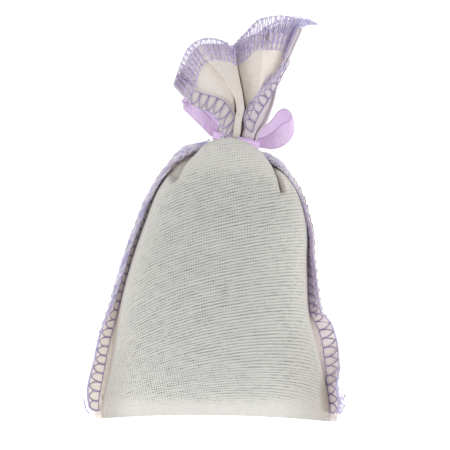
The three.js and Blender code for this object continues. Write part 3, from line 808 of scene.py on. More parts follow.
def ribbon_finish(name):
    """Satin ribbon: fine lengthwise floats, a woven edge, a soft gloss, and a painted glow for light through
    the thin cloth, with painted light on the loops' inner faces.
    """
    finish = Finish(name)
    place = finish.weave_place()
    across, along, _ = finish.node("SeparateXYZ", place).outputs
    height = finish.add_share(finish.wave(along, PICK_PITCH), 0.5, finish.wave(across, FLOAT_PITCH))
    from_middle = finish.node("Math", across, operation="ABSOLUTE").outputs[0]
    edge = finish.range(from_middle, RIBBON_WIDTH / 2 - 0.55, RIBBON_WIDTH / 2 - 0.3)
    base = finish.mix(finish.range(finish.streaks(place, 0.25, 0.9), 0.35, 0.65), SATIN, SATIN_CLOUD)
    base = finish.mix(finish.times(edge, 0.45), base, SATIN_EDGE)
    # Painted light: the loops' inner faces are lighter, and the whole ribbon glows a little, most on those
    # faces
    inner = finish.attribute("inner")
    base = finish.mix(finish.times(inner, 0.5), base, SATIN_INSIDE_PAINTED_LIGHT)
    painted_glow = finish.range(inner, 0, 1, 0.1, 0.26)
    finish.coat({"Base Color": base, "Emission Color": base, "Emission Strength": painted_glow})
    finish.coat({"Roughness": 0.38, "Anisotropic": 0.5, "Sheen Weight": 0.3})
    finish.bump(height, 0.02, 0.35)
    return finish.material


def bud_finish(name):
    """Dried lavender buds: grey violet with dusty green."""
    finish = Finish(name)
    place = finish.object_place()
    base = finish.mix(finish.range(finish.noise(place, 420), 0.4, 0.6), BUD_VIOLET, BUD_GREEN)
    finish.coat({"Base Color": base, "Roughness": 0.95})
    finish.bump(finish.noise(place, 900), 0.4, 0.8)
    return finish.material


# Bag body

def neck_point(degrees, along, grow=0.0):
    """Points on the neck, round it and along it."""
    angle = np.radians(degrees)
    wide = np.multiply.outer((NECK_WIDTH / 2 + grow) * np.cos(angle), NECK_ACROSS)
    deep = np.multiply.outer((NECK_DEPTH / 2 + grow) * np.sin(angle), UP)
    return NECK_CENTRE + wide + deep + np.multiply.outer(np.ones_like(angle) * along, NECK_ALONG)


body_seam = {
    LEFT: Curve([(*left, seam) for left, _, seam, _, _ in STATIONS] + [neck_point(180, -NECK_LENGTH / 2)]),
    RIGHT: Curve([(*right, seam) for _, right, seam, _, _ in STATIONS] + [neck_point(0, -NECK_LENGTH / 2)]),
}
fullness = Curve([(rise, drop) for *_, rise, drop in STATIONS] + [(NECK_DEPTH / 2, NECK_DEPTH / 2)])


def body_flap(shares, side):
    """The seam allowance at one side: its roots, the way it curls out and up, and its width."""
    shares = np.atleast_1d(shares)
    tangent = body_seam[side].tangent(shares)
    return {
        "root": body_seam[side].at(shares),
        "out": unit(np.stack([side * tangent[:, 1], -side * tangent[:, 0], 0 * shares], axis=-1)),
        "up": np.tile(UP, (len(shares), 1)),
        "lean": np.radians(eased(shares, FLAP_LEAN[side])),
        "curl": np.radians(eased(shares, FLAP_CURL[side])),
        "width": eased(shares, FLAP_WIDTH[side]),
    }


def flat_flap(root, out, up, width):
    """A seam allowance or hem that lies flat along its own way."""
    lean = np.zeros(len(root))
    return {"root": root, "out": out, "up": up, "lean": lean, "curl": lean + FLAT_CURL, "width": width}


def flap_place(flap, distance, lift):
    """Points at a distance from the roots along curled flaps, lifted off their upper faces."""
    width = flap["width"]
    curl = flap["curl"]
    start = flap["lean"] + curl
    inside = np.clip(distance, 0, width)
    angle = start - 2 * curl * inside / width
    past = distance - inside
    out = (np.sin(start) - np.sin(angle)) * width / (2 * curl) + past * np.cos(angle) - lift * np.sin(angle)
    up = (np.cos(angle) - np.cos(start)) * width / (2 * curl) + past * np.sin(angle) + lift * np.cos(angle)
    return flap["root"] + flap["out"] * out[:, None] + flap["up"] * up[:, None]


def flap_points(flap, layer):
    """Columns of one layer of a flap, from its root to its edge."""
    shares = np.linspace(0, 1, FLAP_COLUMNS + 1)
    columns = [flap_place(flap, flap["width"] * share, layer * HALF_GAP) for share in shares]
    return np.stack(columns, axis=1)


def shape_shoulders(points, seam_height):
    """Sink the cloth beside each shoulder fold, its floor drawn in under the fold, and raise the ridge."""
    for fold in SHOULDER_FOLDS:
        distance, side, along = line_distance(points, fold["line"])
        fade = np.where(side * fold["outside"] > 0, window(along, *fold["sink_span"]), 0)
        near = window(distance, 0, 0.8, *fold["sink_reach"])
        points[..., 2] -= fold["sink"] * fade * near * (points[..., 2] - seam_height)
        under = fold["undercut"] * fade * window(distance, *UNDERCUT_SPAN)
        points += np.multiply.outer(under, np.array(fold["inward"]))
    distance, _, along = line_distance(points, RIDGE)
    points[..., 2] += RIDGE_HEIGHT * window(along, *RIDGE_SPAN) * hump(distance, RIDGE_HALF_WIDTH)


def shoulder_shade(points):
    """Where the folds at the shoulders keep the light out, and the smooth cloth beside them."""
    dark = np.zeros(points.shape[:-1])
    smooth = np.zeros(points.shape[:-1])
    for fold in SHOULDER_FOLDS:
        distance, side, along = line_distance(points, fold["line"])
        beside = window(along, *fold["shade_span"]) * ramp(distance, 0, fold["soft_edge"])
        beside = np.where(side * fold["outside"] > 0, beside, 0)
        dark = np.maximum(dark, fold["dark"] * beside * (1 - ramp(distance, *fold["dark_reach"])))
        smooth = np.maximum(smooth, beside * (1 - ramp(distance, *fold["smooth_reach"])))
    return dark, SHOULDER_SMOOTH * smooth


def from_seams(points, left_root, right_root):
    """Distances of rows of points from the roots of the left and the right flap."""
    return [length(points - root[:, None]) for root in (left_root, right_root)]


def seam_shade(shares, inside, left_root, right_root):
    """Shade and smooth cloth where the front turns down to its seams, most at the lower right corner."""
    share = shares[:, None]
    from_left, from_right = from_seams(inside[..., :2], left_root[:, :2], right_root[:, :2])
    nearest = np.minimum(from_left, from_right)
    left = eased(share, LEFT_SHADE) * (1 - ramp(from_left / eased(share, LEFT_SHADE_REACH), 0.1, 1))
    right = eased(share, RIGHT_SHADE) + CORNER_SHADE * window(share, *CORNER_SPAN)
    right = right * (1 - ramp(from_right / eased(share, RIGHT_SHADE_REACH), 0.1, 1))
    low = 1 - ramp(share, 0.08, 0.4)
    broad = BROAD_SHADE * low * (1 - ramp(np.minimum(from_left * 1.8, from_right), 2, 18))
    smooth = (1 - ramp(share, 0.4, 0.6)) * (1 - ramp(nearest, 0.6, 1.6))
    return np.maximum.reduce([left, right, broad]), SEAM_SMOOTH * smooth


def column_places():
    """Places of the cloth's columns from the left seam at -1 to the right seam at 1, closest at the seams."""
    return -np.cos(np.linspace(0, math.pi, BODY_COLUMNS + 1))[1:-1]


def body_side(shares, layer):
    """Rows of the front or the back, from the left flap's edge to the right one's."""
    left = flap_points(body_flap(shares, LEFT), layer)
    right = flap_points(body_flap(shares, RIGHT), layer)
    t = column_places()
    crown = 1 - t * t
    mix = ((t + 1) / 2)[None, :, None]
    inside = left[:, :1] * (1 - mix) + right[:, :1] * mix
    seam_height = inside[..., 2].copy()
    amount = fullness.at(shares)
    height = amount[:, 0] if layer == FRONT else -amount[:, 1]
    fold = 1 - ramp(shares * SEAM_LENGTH, 0, FOLD_LIFT_LENGTH)
    inside[..., 2] += height[:, None] * crown ** ROUNDNESS[layer]
    inside[..., 2] += FOLD_LIFT * fold[:, None] * crown
    inside[..., 1] += BOTTOM_ARCH * fold[:, None] * crown
    if layer == FRONT:
        lip = window(shares, *LIP_SPAN)
        inside += LIP_WAY * (LIP_REACH * lip[:, None] * crown ** LIP_ROUNDNESS)[..., None]
        shape_shoulders(inside, seam_height)
    swell = crown ** 0.5 * ramp(shares, 0.02, 0.1)[:, None]
    inside[..., 2] += lumps(inside, CLOTH_LUMPS) * swell
    inside[..., 2] += pucker(inside, left[:, 0], right[:, 0])
    inside[..., 2] = np.maximum(inside[..., 2], CLOTH / 2)
    return np.concatenate([left[:, ::-1], inside, right], axis=1)


def pucker(points, left_root, right_root):
    """Small waves that the stitching pulls into the cloth beside the seams."""
    near = hump(np.minimum(*from_seams(points, left_root, right_root)), PUCKER_REACH)
    return PUCKER_HEIGHT * near * np.sin(points[..., 1] * 2 * math.pi / PUCKER_PITCH)


def body_weave(grid, layer, start):
    """The cloth's own coordinates: across and along the yarns, which slope and arch over the belly."""
    middle = grid.shape[1] // 2
    across = lengths_along(grid, 1)
    across -= across[:, middle][:, None]
    reach = layer * (lengths_along(grid[:, middle])[:, None] + start[None, :])
    slope = np.tan(np.radians(eased(reach, YARN_SLOPE)))
    arch = eased(reach, YARN_ARCH) * (across / ARCH_HALF_WIDTH) ** 2
    return np.stack([across, reach - slope * across + arch], axis=-1)


def body_layers(shares, layer, grid):
    """Where the filling shows through, where the cloth is plain cream, where shade is painted on it, and
    where it is tinted lilac.
    """
    t = column_places()
    middle = slice(FLAP_COLUMNS + 1, FLAP_COLUMNS + 1 + len(t))
    flap = np.ones(grid.shape[:2])
    flap[:, middle] = 0
    filling_and_shade = np.zeros_like(flap)
    filled = ramp(shares, 0.02, 0.24) * (1 - 0.8 * ramp(shares, 0.66, 0.88))
    filling_and_shade[:, middle] = filled[:, None] * (1 - t * t)[None, :] ** 0.8
    painted_shade = np.zeros_like(flap)
    tint = np.zeros_like(flap)
    if layer == FRONT:
        inside = grid[:, middle]
        folds, smooth = shoulder_shade(inside)
        turns, plain = seam_shade(shares, inside, grid[:, FLAP_COLUMNS], grid[:, -FLAP_COLUMNS - 1])
        painted_shade[:, middle] = np.maximum(folds, turns)
        flap[:, middle] = np.maximum(smooth, plain)
        left, right, lilac = flap_shades(shares)
        painted_shade[:, FLAP_COLUMNS::-1] = left
        painted_shade[:, -FLAP_COLUMNS - 1:] = right
        tint[:, -FLAP_COLUMNS - 1:] = lilac
    return {"filling_and_shade": filling_and_shade, "flap": flap, "painted_shade": painted_shade, "tint": tint}


def flap_shades(shares):
    """Shade of the left and the right flap from root to edge, and the lilac tint of the right one."""
    share = shares[:, None]
    to_edge = np.arange(FLAP_COLUMNS + 1) / FLAP_COLUMNS
    crevice = 0.1 + 0.1 * window(share, 0.36, 0.5, 0.62, 0.7)
    reach = eased(share, [(0.36, 0.45), (0.5, 0.8)])
    left = crevice * (1 - ramp(to_edge / reach, 0.2, 1))
    root_shade = 0.12 * (1 - ramp(to_edge, 0.1, 0.5))
    right = np.maximum(root_shade, 0.35 * window(share, 0.42, 0.52, 0.66, 0.8))
    lilac = 0.3 + 0.4 * window(share, 0.34, 0.44, 0.84, 0.94)
    return left, right, lilac


def build_body(cotton):
    shares = np.linspace(0, 1, BODY_ROWS + 1) ** ROW_CROWDING
    front = body_side(shares, FRONT)
    back = body_side(shares, BACK)
    fold = (front[0] + back[0]) / 2 - np.array((0, FOLD_ROUND, 0))
    strip = np.concatenate([back[-1:] + UNDER_TIE, back[::-1], fold[None], front, front[-1:] + UNDER_TIE])
    points, faces = thick_sheet(strip, CLOTH)

    def spread(front_values, back_values, fold_values):
        rows = [back_values[-1:], back_values[::-1], fold_values, front_values, front_values[-1:]]
        whole = np.concatenate(rows)
        whole = whole.reshape(-1, *whole.shape[2:])
        return np.concatenate([whole, whole])

    to_front = length(front[0] - fold)
    to_back = length(back[0] - fold)
    fold_weave = body_weave(fold[None], FRONT, 0 * to_front)
    weave = spread(body_weave(front, FRONT, to_front), body_weave(back, BACK, to_back), fold_weave)
    front_layers = body_layers(shares, FRONT, front)
    back_layers = body_layers(shares, BACK, back)
    layers = {key: spread(values, back_layers[key], values[:1]) for key, values in front_layers.items()}
    bag = make_object("bag_cloth", points, faces, cotton, weave, layers)
    dress(bag, "sachet", "cotton", "bag_body")
    return front, back


def build_filling(front, back, material):
    """A lumpy heap of buds, a little inside the cloth."""
    top = (front - grid_normals(front) * FILLING_INSET)[FILLING_ROWS, FILLING_COLUMNS]
    under = (back + grid_normals(back) * FILLING_INSET)[FILLING_ROWS, FILLING_COLUMNS]
    rings = np.concatenate([top, under[:, ::-1]], axis=1)
    rings[..., 2] += lumps(rings, FILLING_LUMPS)
    buds = make_object("lavender_buds", *closed_skin(rings), material)
    dress(buds, "sachet", "lavender", "lavender_filling")


# Collar

collar_seam = {}
flap_way = {}
for side, seam_points in COLLAR_SEAMS.items():
    collar_seam[side] = Curve([neck_point(SEAM_DEGREES[side], COLLAR_START), *seam_points])
    flap_way[side] = Curve(COLLAR_FLAP_WAYS[side])
collar_hem = {}
for layer, hem_line in HEMS.items():
    collar_hem[layer] = Curve([COLLAR_SEAMS[LEFT][-1], *hem_line, COLLAR_SEAMS[RIGHT][-1]])


def front_pleats(points):
    """Rise of the front collar over its spanned surface: a centre tube, deep folds and a crease."""
    groove, groove_side, groove_along = line_distance(points, GROOVE)
    tube_edge, tube_side, tube_along = line_distance(points, TUBE_LEFT)
    crease, crease_side, _ = line_distance(points, CREASE)
    hidden, _, hidden_along = line_distance(points, HIDDEN_FOLD)
    right = groove_side > 0
    facet = groove / np.maximum(groove + crease, 1e-6)
    dip = np.where(right & (crease_side < 0), CREASE_DIP * (1 - facet) ** 1.2, 0)
    share = tube_edge / np.maximum(tube_edge + groove, 1e-6)
    height = eased(tube_along, TUBE_HEIGHT) * np.sin(math.pi * share) ** TUBE_ROUNDNESS
    rise = np.where(~right & (tube_side > 0), height, 0) - dip
    rise = rise + CREASE_HEIGHT * hump(crease, CREASE_HALF_WIDTH)
    deepening = 0.35 + 0.65 * ramp(groove_along, 0.1, 0.4)
    rise = rise - GROOVE_DEPTH * hump(groove, GROOVE_HALF_WIDTH) * deepening
    rise = rise - TUBE_SIDE_DEPTH * hump(tube_edge, TUBE_SIDE_HALF_WIDTH) * ramp(tube_along, 0.3, 0.55)
    rise = rise - TUBE_SLOPE_DEPTH * hump(tube_edge, TUBE_SLOPE_HALF_WIDTH) * (tube_side < 0)
    return rise - HIDDEN_DEPTH * hump(hidden, HIDDEN_HALF_WIDTH) * ramp(hidden_along, 0.1, 0.35)


def collar_surface(u, v, layer):
    """A point of the front or back collar, at shares across and along it."""
    u, v = np.broadcast_arrays(np.asarray(u, float), np.asarray(v, float))
    across = u[..., None]
    along = v[..., None]
    seams = [collar_seam[LEFT], collar_seam[RIGHT]]
    turn = SEAM_DEGREES[RIGHT] - SEAM_DEGREES[LEFT] + (0 if layer == FRONT else 360)
    base = neck_point(SEAM_DEGREES[LEFT] + turn * u, COLLAR_START)
    left, right = (seam.at(v) for seam in seams)
    low = seams[0].at(0) * (1 - across) + seams[1].at(0) * across
    high = seams[0].at(1) * (1 - across) + seams[1].at(1) * across
    spanned = base * (1 - along) + collar_hem[layer].at(u) * along + left * (1 - across) + right * across
    point = spanned - (low * (1 - along) + high * along)
    edge = ramp(u, 0, 0.06) * ramp(1 - u, 0, 0.06)
    if layer == FRONT:
        point[..., 2] += front_pleats(point) * edge
    else:
        point[..., 2] += eased(v, GATHER_DEPTH) * np.sin(u * 2 * math.pi * BACK_GATHERS) * edge
        bulge = BACK_BULGE * ramp(u, 0.7, 0.9) * edge * window(v, *BULGE_SPAN)
        point += np.multiply.outer(bulge, NECK_ACROSS)
    return point


def collar_length(u, layer):
    """Straight length of the collar from the tie to the hem."""
    return length(collar_surface(u, 1.0, layer) - collar_surface(u, 0.0, layer))


def hem_setback(u, layer):
    """How far the cloth's edge lies inside the outermost thread loops."""
    if layer == BACK:
        return CLOTH_SETBACK[BACK] + 0 * u
    right_petal = ramp(u, 0.58, 0.74) * (1 - 0.4 * ramp(u, 0.92, 1))
    left_petal = window(u, 0.02, 0.12, 0.3, 0.42)
    return CLOTH_SETBACK[FRONT] + PETAL_SETBACK[RIGHT] * right_petal + PETAL_SETBACK[LEFT] * left_petal


def collar_flap(shares, side):
    """The seam allowance of the collar at one side."""
    shares = np.atleast_1d(shares)
    way = unit(flap_way[side].at(shares))
    up = unit(side * np.cross(way, collar_seam[side].tangent(shares)))
    return flat_flap(collar_seam[side].at(shares), way, up, eased(shares, COLLAR_FLAP_WIDTHS[side]))


def collar_grid(layer):
    v = np.linspace(0, 1, COLLAR_ROWS + 1)[:, None]
    u = np.linspace(0, 1, COLLAR_COLUMNS + 1)[None, 1:-1]
    inside = collar_surface(u, v * (1 - hem_setback(u, layer) / collar_length(u, layer)), layer)
    uneven = ramp(v, 0.1, 0.4) * ramp(u, 0, 0.05) * ramp(1 - u, 0, 0.05)
    inside[..., 2] += lumps(inside, COLLAR_LUMPS[layer]) * uneven
    left = flap_points(collar_flap(v[:, 0], LEFT), layer)
    right = flap_points(collar_flap(v[:, 0], RIGHT), layer)
    grid = np.concatenate([left[:, ::-1], inside, right], axis=1)
    return np.concatenate([grid[:1] - UNDER_TIE, grid])


def collar_weave(grid):
    across = lengths_along(grid, 1)
    along = lengths_along(grid).mean(axis=1)[:, None] * np.ones_like(across)
    return np.stack([across, along], axis=-1)


def collar_layers(grid, layer):
    """Where painted shade makes the collar's cloth greyer and painted light makes it lighter, and where shade
    and lilac thread tint it.
    """
    u = np.linspace(0, 1, grid.shape[1])
    to_hem = length(grid - grid[-1]) + hem_setback(u, layer) - eased(u, HEM_WIDTH)
    plain = np.zeros(grid.shape[:2])
    tint = HEM_TINT * (1 - ramp(to_hem, -0.4, 0.2))
    if layer == BACK:
        return {"filling_and_shade": plain, "flap": plain, "painted_shade": plain, "tint": np.maximum(tint, BACK_TINT)}
    _, groove_side, _ = line_distance(grid, GROOVE)
    crease, crease_side, _ = line_distance(grid, CREASE)
    _, tube_side, _ = line_distance(grid, TUBE_LEFT)
    hidden, _, _ = line_distance(grid, HIDDEN_FOLD)
    right = groove_side > 0
    # Painted shade greys the right petal's facet left of its crease
    filling_and_shade = np.where(right & (crease_side < 0), 0.5, 0.0) * ramp(crease, 0, 0.5)
    # Painted light makes the right petal lighter, most of all right of its crease
    light = np.where(right, 1.0, 0.0) * np.where(crease_side > 0, 1.0, 0.5)
    # Painted shade dims the centre tube a little
    painted_shade = np.where((groove_side < 0) & (tube_side > 0), 0.1, 0.0)
    for centre, strength, shade_size, tint_size in COLLAR_MARKS:
        painted_shade = np.maximum(painted_shade, strength * spot(grid, centre, shade_size))
        tint = np.maximum(tint, spot(grid, centre, tint_size))
    tint = np.maximum(tint, HIDDEN_TINT * (1 - ramp(hidden, 1.6, 2.8)))
    on_flap = np.zeros(grid.shape[1])
    on_flap[:FLAP_COLUMNS + 1] = FLAP_TINTS[LEFT]
    on_flap[-FLAP_COLUMNS - 1:] = FLAP_TINTS[RIGHT]
    return {"filling_and_shade": filling_and_shade, "flap": light, "painted_shade": painted_shade, "tint": np.maximum(tint, on_flap)}


def build_collar(material):
    for name, layer in (("collar_front", FRONT), ("collar_back", BACK)):
        grid = collar_grid(layer)
        points, faces = thick_sheet(grid, CLOTH)
        weave = np.tile(collar_weave(grid).reshape(-1, 2), (2, 1))
        layers = {key: np.tile(values.ravel(), 2) for key, values in collar_layers(grid, layer).items()}
        sheet = make_object(f"{name}_cloth", points, faces, material, weave, layers)
        dress(sheet, "sachet", "cotton", name)


# Overlock stitching

class StitchRun:
    """A run of overlock stitches: the flap that it is sewn through, the place of each stitch and its face."""

    def __init__(self, flap_at, places, half, needle, face):
        self.flap_at = flap_at
        self.places = places
        self.half = half
        self.over = half + THREAD_RADIUS
        self.needle = needle
        self.face = face
        self.count = len(places)

    def place_of(self, stitches):
        return np.interp(stitches, np.arange(self.count), self.places)

    def points(self, stitches, distance, lift, from_edge=False):
        """Points at stitch numbers, at a distance from the needle line or from the cloth's edge."""
        stitches = np.asarray(stitches, float)
        places = self.place_of(stitches)
        flap = self.flap_at(places)
        distance = distance + (flap["width"] if from_edge else eased(places, self.needle))
        return flap_place(flap, distance + 0 * stitches, lift + 0 * stitches)


def even_places(point_at, pitch, span):
    """Places along a line that lie about a pitch apart."""
    fine = np.linspace(span[0], span[1], 900)
    reached = lengths_along(point_at(fine))
    count = max(2, round(reached[-1] / pitch))
    return np.interp(np.linspace(0, reached[-1], count + 1), reached, fine)


def needle_path(run, inset):
    """Needle stitches: the thread dips into the cloth at each stitch."""
    stitches = np.arange(run.count - 1)
    raised = NEEDLE_LIFT * inset
    dips = run.points(stitches, inset, run.face * (run.half - NEEDLE_DIP + raised))
    rises = [run.points(stitches + share, inset, run.face * (run.over + raised)) for share in (0.25, 0.75)]
    path = np.stack([dips, *rises], axis=1).reshape(-1, 3)
    return smooth_path(path, 3)


def looper_path(run, face, split, wander):
    """A looper: two legs side by side from the needle line, which part on their way to the cloth's edge."""
    stitches = np.arange(run.count)
    over = face * run.over
    start = LEG_START["over" if face == run.face else "under"]
    jitter = random.normal(0, wander, (4, run.count))
    places = []
    for back in LOOPER_TURNS:
        inward = LOOPER_OVERHANG - LOOPER_TURN_INSET + jitter[0]
        places.append(run.points(stitches - back, inward, over, True))
    for spread, near in ((-0.05, False), (-0.03, True), (0.03, True), (0.05, False)):
        distance = start if near else split * ALLOWANCE + jitter[1] * 2
        places.append(run.points(stitches + spread + jitter[2] * 0.15, distance, over))
    path = np.stack(places, axis=1).reshape(-1, 3)
    return smooth_path(path[2:], 3)


class EdgeRope:
    """The bundle of looper thread round the cloth's edge, which wanders out and in along a run."""

    def __init__(self, run, radii):
        self.run = run
        self.radii = radii
        self.wander = random.normal(0, ROPE_WANDER, run.count)

    def at(self, stitches):
        """Radius of the bundle and how far its middle lies from the cloth's edge, at stitch numbers."""
        size = eased(self.run.place_of(stitches), self.radii)
        wobble = np.interp(stitches, np.arange(self.run.count), self.wander)
        return size, LOOPER_OVERHANG - ROPE_INSET * size + wobble * size

    def strand(self):
        """One strand that is wound round the edge."""
        stitches = np.arange(0, self.run.count - 1, 0.3)
        size, middle = self.at(stitches)
        start = random.uniform(0, 2 * math.pi)
        angle = start + STRAND_TWIST * stitches + random.normal(0, STRAND_JITTER, len(stitches))
        reach = size * random.uniform(*STRAND_REACH)
        inward = middle + reach * np.cos(angle)
        return smooth_path(self.run.points(stitches, inward, reach * np.sin(angle), True), 3)

    def core(self):
        stitches = np.arange(0, self.run.count - 1, 0.25)
        size, middle = self.at(stitches)
        path = self.run.points(stitches, middle, 0.0, True)
        return tube(path, np.maximum(size - CORE_INSET, 0.05), 10)


def edge_wraps(run, span, radius):
    """Short turns of thread over the cloth's edge, one at each stitch."""
    wraps = []
    for stitch in range(1, run.count - 1):
        if span[0] < run.places[stitch] < span[1]:
            steps = stitch + WRAP_STEPS + random.normal(0, 0.05, len(WRAP_STEPS))
            turn = run.points(steps, WRAP_INWARD, WRAP_LIFT * run.over, True)
            wraps.append(tube(smooth_path(turn, 4), radius * WRAP_THICKENING))
    return wraps


def overlock(name, run, style, yarn, pale_yarn):
    """The three threads of a run: the needle thread and two loopers, one wound round the edge."""
    radius = style["radius"]
    rope = EdgeRope(run, style["rope"])
    needles = [tube(needle_path(run, inset), radius) for inset in style["needles"]]
    upper = [tube(looper_path(run, run.face, style["split"], LOOPER_WANDER["upper"]), radius)]
    upper += edge_wraps(run, style["wraps"], radius)
    lower = [tube(looper_path(run, -run.face, style["split"], LOOPER_WANDER["lower"]), radius)]
    lower += [tube(rope.strand(), style["strand"], 5) for _ in range(style["strands"])]
    if style["core"]:
        lower.append(rope.core())
    streak = np.concatenate([np.full(len(points), random.uniform(0, 1)) for points, _ in lower])
    for kind, parts, material in (
        ("needle_thread", needles, yarn), ("upper_looper", upper, yarn), ("lower_looper", lower, pale_yarn),
    ):
        points, faces = join_parts(parts)
        marks = {}
        if kind == "lower_looper":
            marks = {key: eased(points[:, 1], style[key]) for key in ("deep", "painted_light")}
            marks["streak"] = streak
        thread = make_object(f"{name}_{kind}_yarn", points, faces, material, layers=marks)
        dress(thread, "sachet", "thread", f"{name}_{kind}")


def build_seams(yarn, pale_yarn):
    for name, side, style, corner in (
        ("left", LEFT, LEFT_SEAM_STITCH, HEM_WIDTH[0]),
        ("right", RIGHT, RIGHT_SEAM_STITCH, HEM_WIDTH[-1]),
    ):
        places = even_places(body_seam[side].at, SEAM_PITCH, STITCHED_SPAN)
        run = StitchRun(partial(body_flap, side=side), places, SEAM_HALF, NEEDLE_INSET[side], 1)
        overlock(f"{name}_seam", run, style, yarn, pale_yarn)
        span = (COLLAR_STITCH_START, 1 - corner[1] / COLLAR_SEAM_LENGTHS[side])
        places = even_places(collar_seam[side].at, SEAM_PITCH, span)
        run = StitchRun(partial(collar_flap, side=side), places, COLLAR_SEAM_HALF, COLLAR_NEEDLE, -side)
        overlock(f"{name}_collar_seam", run, COLLAR_SEAM_STITCH, yarn, pale_yarn)


def hem_points(places, layer, depth):
    """Points at a depth inside the hem's edge: on the left flap below place 0, on the right one above 1."""
    u = np.clip(places, 0, 1)
    points = collar_surface(u, 1 - depth / collar_length(u, layer), layer)
    for side, beyond in ((LEFT, np.maximum(-places, 0)), (RIGHT, np.maximum(places - 1, 0))):
        flap = collar_flap(1 - depth / COLLAR_SEAM_LENGTHS[side] + 0 * places, side)
        on_flap = flap_place(flap, beyond * flap["width"], CLOTH)
        points = np.where((beyond > 0)[:, None], on_flap, points)
    return points


def hem_flap(places, layer):
    """The hem as a flap from its inner needle line out to the thread loops."""
    places = np.atleast_1d(places)
    width = eased(places, HEM_WIDTH)
    root = hem_points(places, layer, width)
    edge = hem_points(places, layer, 0.0)
    step = 0.01
    across = hem_points(places + step, layer, width / 2) - hem_points(places - step, layer, width / 2)
    up = unit(np.cross(across, edge - root))
    return flat_flap(root, unit(edge - root), up, length(edge - root))


def build_hems(yarn, pale_yarn):
    for name, layer in (("front_hem", FRONT), ("back_hem", BACK)):
        places = even_places(partial(hem_points, layer=layer, depth=0.0), HEM_PITCH, HEM_SPANS[layer])
        run = StitchRun(partial(hem_flap, layer=layer), places, HEM_HALF, HEM_NEEDLE, 1)
        overlock(name, run, HEM_STITCH, yarn, pale_yarn)


def frayed(line, count, start_spread, end_spread):
    """Thin curly fibres that wander along a line."""
    fine = Curve(line).at(np.linspace(0, 1, FIBRE_POINTS))
    spread = np.linspace(start_spread, end_spread, FIBRE_POINTS)[:, None]
    parts = []
    for _ in range(count):
        drift = random.normal(0, 1, 3) * spread + random.normal(0, FIBRE_CURL, fine.shape) * spread
        parts.append(tube(smooth_path(fine + drift * np.array((1, 1, 0.5)), 4), FIBRE_RADIUS, 5))
    return join_parts(parts)


def build_loose_thread(material):
    for name, bundle in LOOSE_THREAD.items():
        ends = make_object(f"{name}_fibres", *frayed(*bundle), material)
        dress(ends, "sachet", "thread", name)


# Ribbon

def ribbon_strip(name, rows, body, material):
    """A strip of ribbon through rows of points, with the woven coordinates across and along it."""
    points, faces = thick_sheet(rows, RIBBON_THICKNESS)
    whole = np.ones(rows.shape[:2])
    along = lengths_along(rows[:, rows.shape[1] // 2])[:, None] * whole
    across = np.linspace(-RIBBON_WIDTH / 2, RIBBON_WIDTH / 2, rows.shape[1])[None, :] * whole
    weave = np.stack([across, along], axis=-1).reshape(-1, 2)
    # Inner faces of the loops, which get painted light
    upper = 1.0 * (name == "right_loop")
    lower = 1.0 * (name == "left_loop")
    inner = np.repeat([upper, lower], len(weave))
    strip = make_object(f"{name}_satin", points, faces, material, np.tile(weave, (2, 1)), {"inner": inner})
    dress(strip, body, "satin_ribbon", name)


def build_wrap(material):
    degrees = np.linspace(-90 + WRAP_OPENING / 2, 270 - WRAP_OPENING / 2, 120)
    rows = []
    for edge in np.linspace(-0.5, 0.5, 17):
        ripple = WRAP_RIPPLE * math.sin(edge * 5 * math.pi)
        rows.append(neck_point(degrees, edge * WRAP_HEIGHT, WRAP_GROW + ripple))
    ribbon_strip("ribbon_wrap", np.stack(rows, axis=1), "sachet", material)


def build_knot(material):
    """The knot: a bean of folded ribbon with creases round it."""
    sides = 40
    along = np.linspace(-1, 1, 36)
    angles = np.linspace(0, 2 * math.pi, sides, endpoint=False)
    rings = []
    for place in along:
        waist = 0.9 + 0.12 * math.cos(place * 2 * math.pi)
        radius = KNOT_RADIUS * waist * (1 - abs(place) ** 5) ** 0.5 + 0.05
        reach = radius * (1 + 0.06 * np.sin(3 * angles + place * 5))
        wide = np.multiply.outer(reach * np.cos(angles), NECK_ALONG)
        deep = np.multiply.outer(reach * KNOT_FLATNESS * np.sin(angles), UP)
        rings.append(KNOT_CENTRE + NECK_ACROSS * place * KNOT_WIDTH / 2 + wide + deep)
    weave = np.stack([np.tile(np.cos(angles) * 2, len(along)), np.repeat(along * 3, sides)], axis=-1)
    knot = make_object("ribbon_knot_satin", *closed_skin(np.array(rings)), material, weave)
    dress(knot, "sachet", "satin_ribbon", "ribbon_knot")


def build_loop(name, material):
    """A bow loop of ribbon between its two edges, out along one band and back along the other."""
    shares = np.linspace(0, 1, 110)
    first, second = (Curve(edge).at(shares)[:, None] for edge in LOOP_EDGES[name])
    across = np.linspace(0, 1, 15)[:, None]
    rows = first * (1 - across) + second * across
    rows = rows + grid_normals(rows) * LOOP_CUP * (4 * (across - 0.5) ** 2 - 0.5)
    ribbon_strip(name, rows, name, material)


def build_tail(name, side, material):
    way = NECK_ALONG * math.cos(TAIL_SPLAY) + NECK_ACROSS * side * math.sin(TAIL_SPLAY)
    across = np.cross(way, UP)
    root = KNOT_CENTRE + NECK_ALONG * (KNOT_RADIUS + TAIL_ROOT_GAP) + NECK_ACROSS * side * TAIL_ROOT_SPREAD
    edges = np.linspace(-0.5, 0.5, 11)[:, None]
    rows = []
    for along in np.linspace(0, TAIL_LENGTH, 50):
        width = eased(along, [(0, PINCHED_WIDTH), (TAIL_WIDENING, RIBBON_WIDTH)])
        fallen = float(ramp(along, 0, TAIL_FALL))
        centre = root + way * along
        centre[2] = TAIL_ROOT_HEIGHT * (1 - fallen) + TAIL_REST_HEIGHT * fallen
        centre[2] += TAIL_WAVE * math.sin(along * 0.7) * fallen
        slant = way * edges * 2 * side * TAIL_SLANT * along / TAIL_LENGTH
        rows.append(centre + across * edges * width + slant)
    ribbon_strip(name, np.array(rows), name, material)


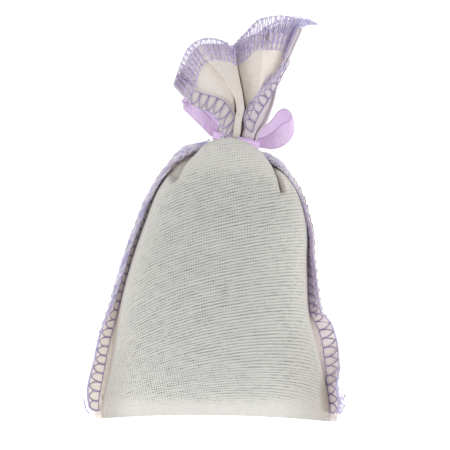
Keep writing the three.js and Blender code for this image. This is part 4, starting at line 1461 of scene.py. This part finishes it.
def build_bow(material):
    build_wrap(material)
    build_knot(material)
    for name in LOOP_EDGES:
        build_loop(name, material)
    for name, side in (("right_tail", RIGHT), ("left_tail", LEFT)):
        build_tail(name, side, material)


# Stage

def build_camera():
    data = bpy.data.cameras.new("camera")
    data.sensor_width = SENSOR_WIDTH
    data.lens = SENSOR_WIDTH * CAMERA_HEIGHT / (PHOTO_SIZE * MM_PER_PIXEL)
    camera = add_object("camera", data)
    middle = PHOTO_SIZE / 2
    x = (middle - ORIGIN_PIXEL[0]) * MM_PER_PIXEL
    y = (ORIGIN_PIXEL[1] - middle) * MM_PER_PIXEL
    camera.location = Vector((x, y, CAMERA_HEIGHT)) * MM
    bpy.context.scene.camera = camera


def build_floor():
    corners = [(x * FLOOR_HALF, y * FLOOR_HALF, 0) for x, y in ((-1, -1), (1, -1), (1, 1), (-1, 1))]
    mesh = bpy.data.meshes.new("floor")
    mesh.from_pydata(corners, [], [(0, 1, 2, 3)])
    floor = add_object("floor", mesh)
    finish = Finish("floor_paper")
    finish.surface["Base Color"].default_value = (FLOOR_GREY, FLOOR_GREY, FLOOR_GREY, 1)
    seen = finish.node("LightPath").outputs["Is Camera Ray"]
    finish.coat({"Roughness": 1.0, "Specular IOR Level": 0.0, "Emission Color": (255, 255, 255)})
    finish.coat({"Emission Strength": finish.times(seen, FLOOR_GLOW)})
    mesh.materials.append(finish.material)


def build_light():
    world = bpy.data.worlds.new("studio")
    world.use_nodes = True
    background = world.node_tree.nodes["Background"].inputs
    background["Color"].default_value = (1, 1, 1, 1)
    background["Strength"].default_value = WORLD_STRENGTH
    bpy.context.scene.world = world
    for name, (place, watts) in LAMPS.items():
        data = bpy.data.lights.new(name, "AREA")
        data.size = LAMP_SIZE
        data.energy = watts
        lamp = add_object(name, data)
        lamp.location = place
        lamp.rotation_euler = (-Vector(place)).to_track_quat("-Z", "Y").to_euler()


def build_sachet():
    cotton = cotton_finish("cotton_weave", COTTON, FILLED_COTTON, BODY_GAP_SHADE, BODY_WEFT_PITCH)
    collar = cotton_finish("collar_weave", COLLAR_COTTON, SHADED_COLLAR, COLLAR_GAP_SHADE, COLLAR_WEFT_PITCH)
    pale_yarn = thread_finish("pale_lilac_yarn")
    front, back = build_body(cotton)
    build_filling(front, back, bud_finish("dried_buds"))
    build_collar(collar)
    build_seams(thread_finish("lilac_yarn"), pale_yarn)
    build_hems(thread_finish("hem_yarn"), pale_yarn)
    build_loose_thread(thread_finish("loose_yarn"))
    build_bow(ribbon_finish("lilac_satin"))


bpy.context.scene.view_settings.view_transform = "Standard"
build_camera()
build_floor()
build_light()
build_sachet()
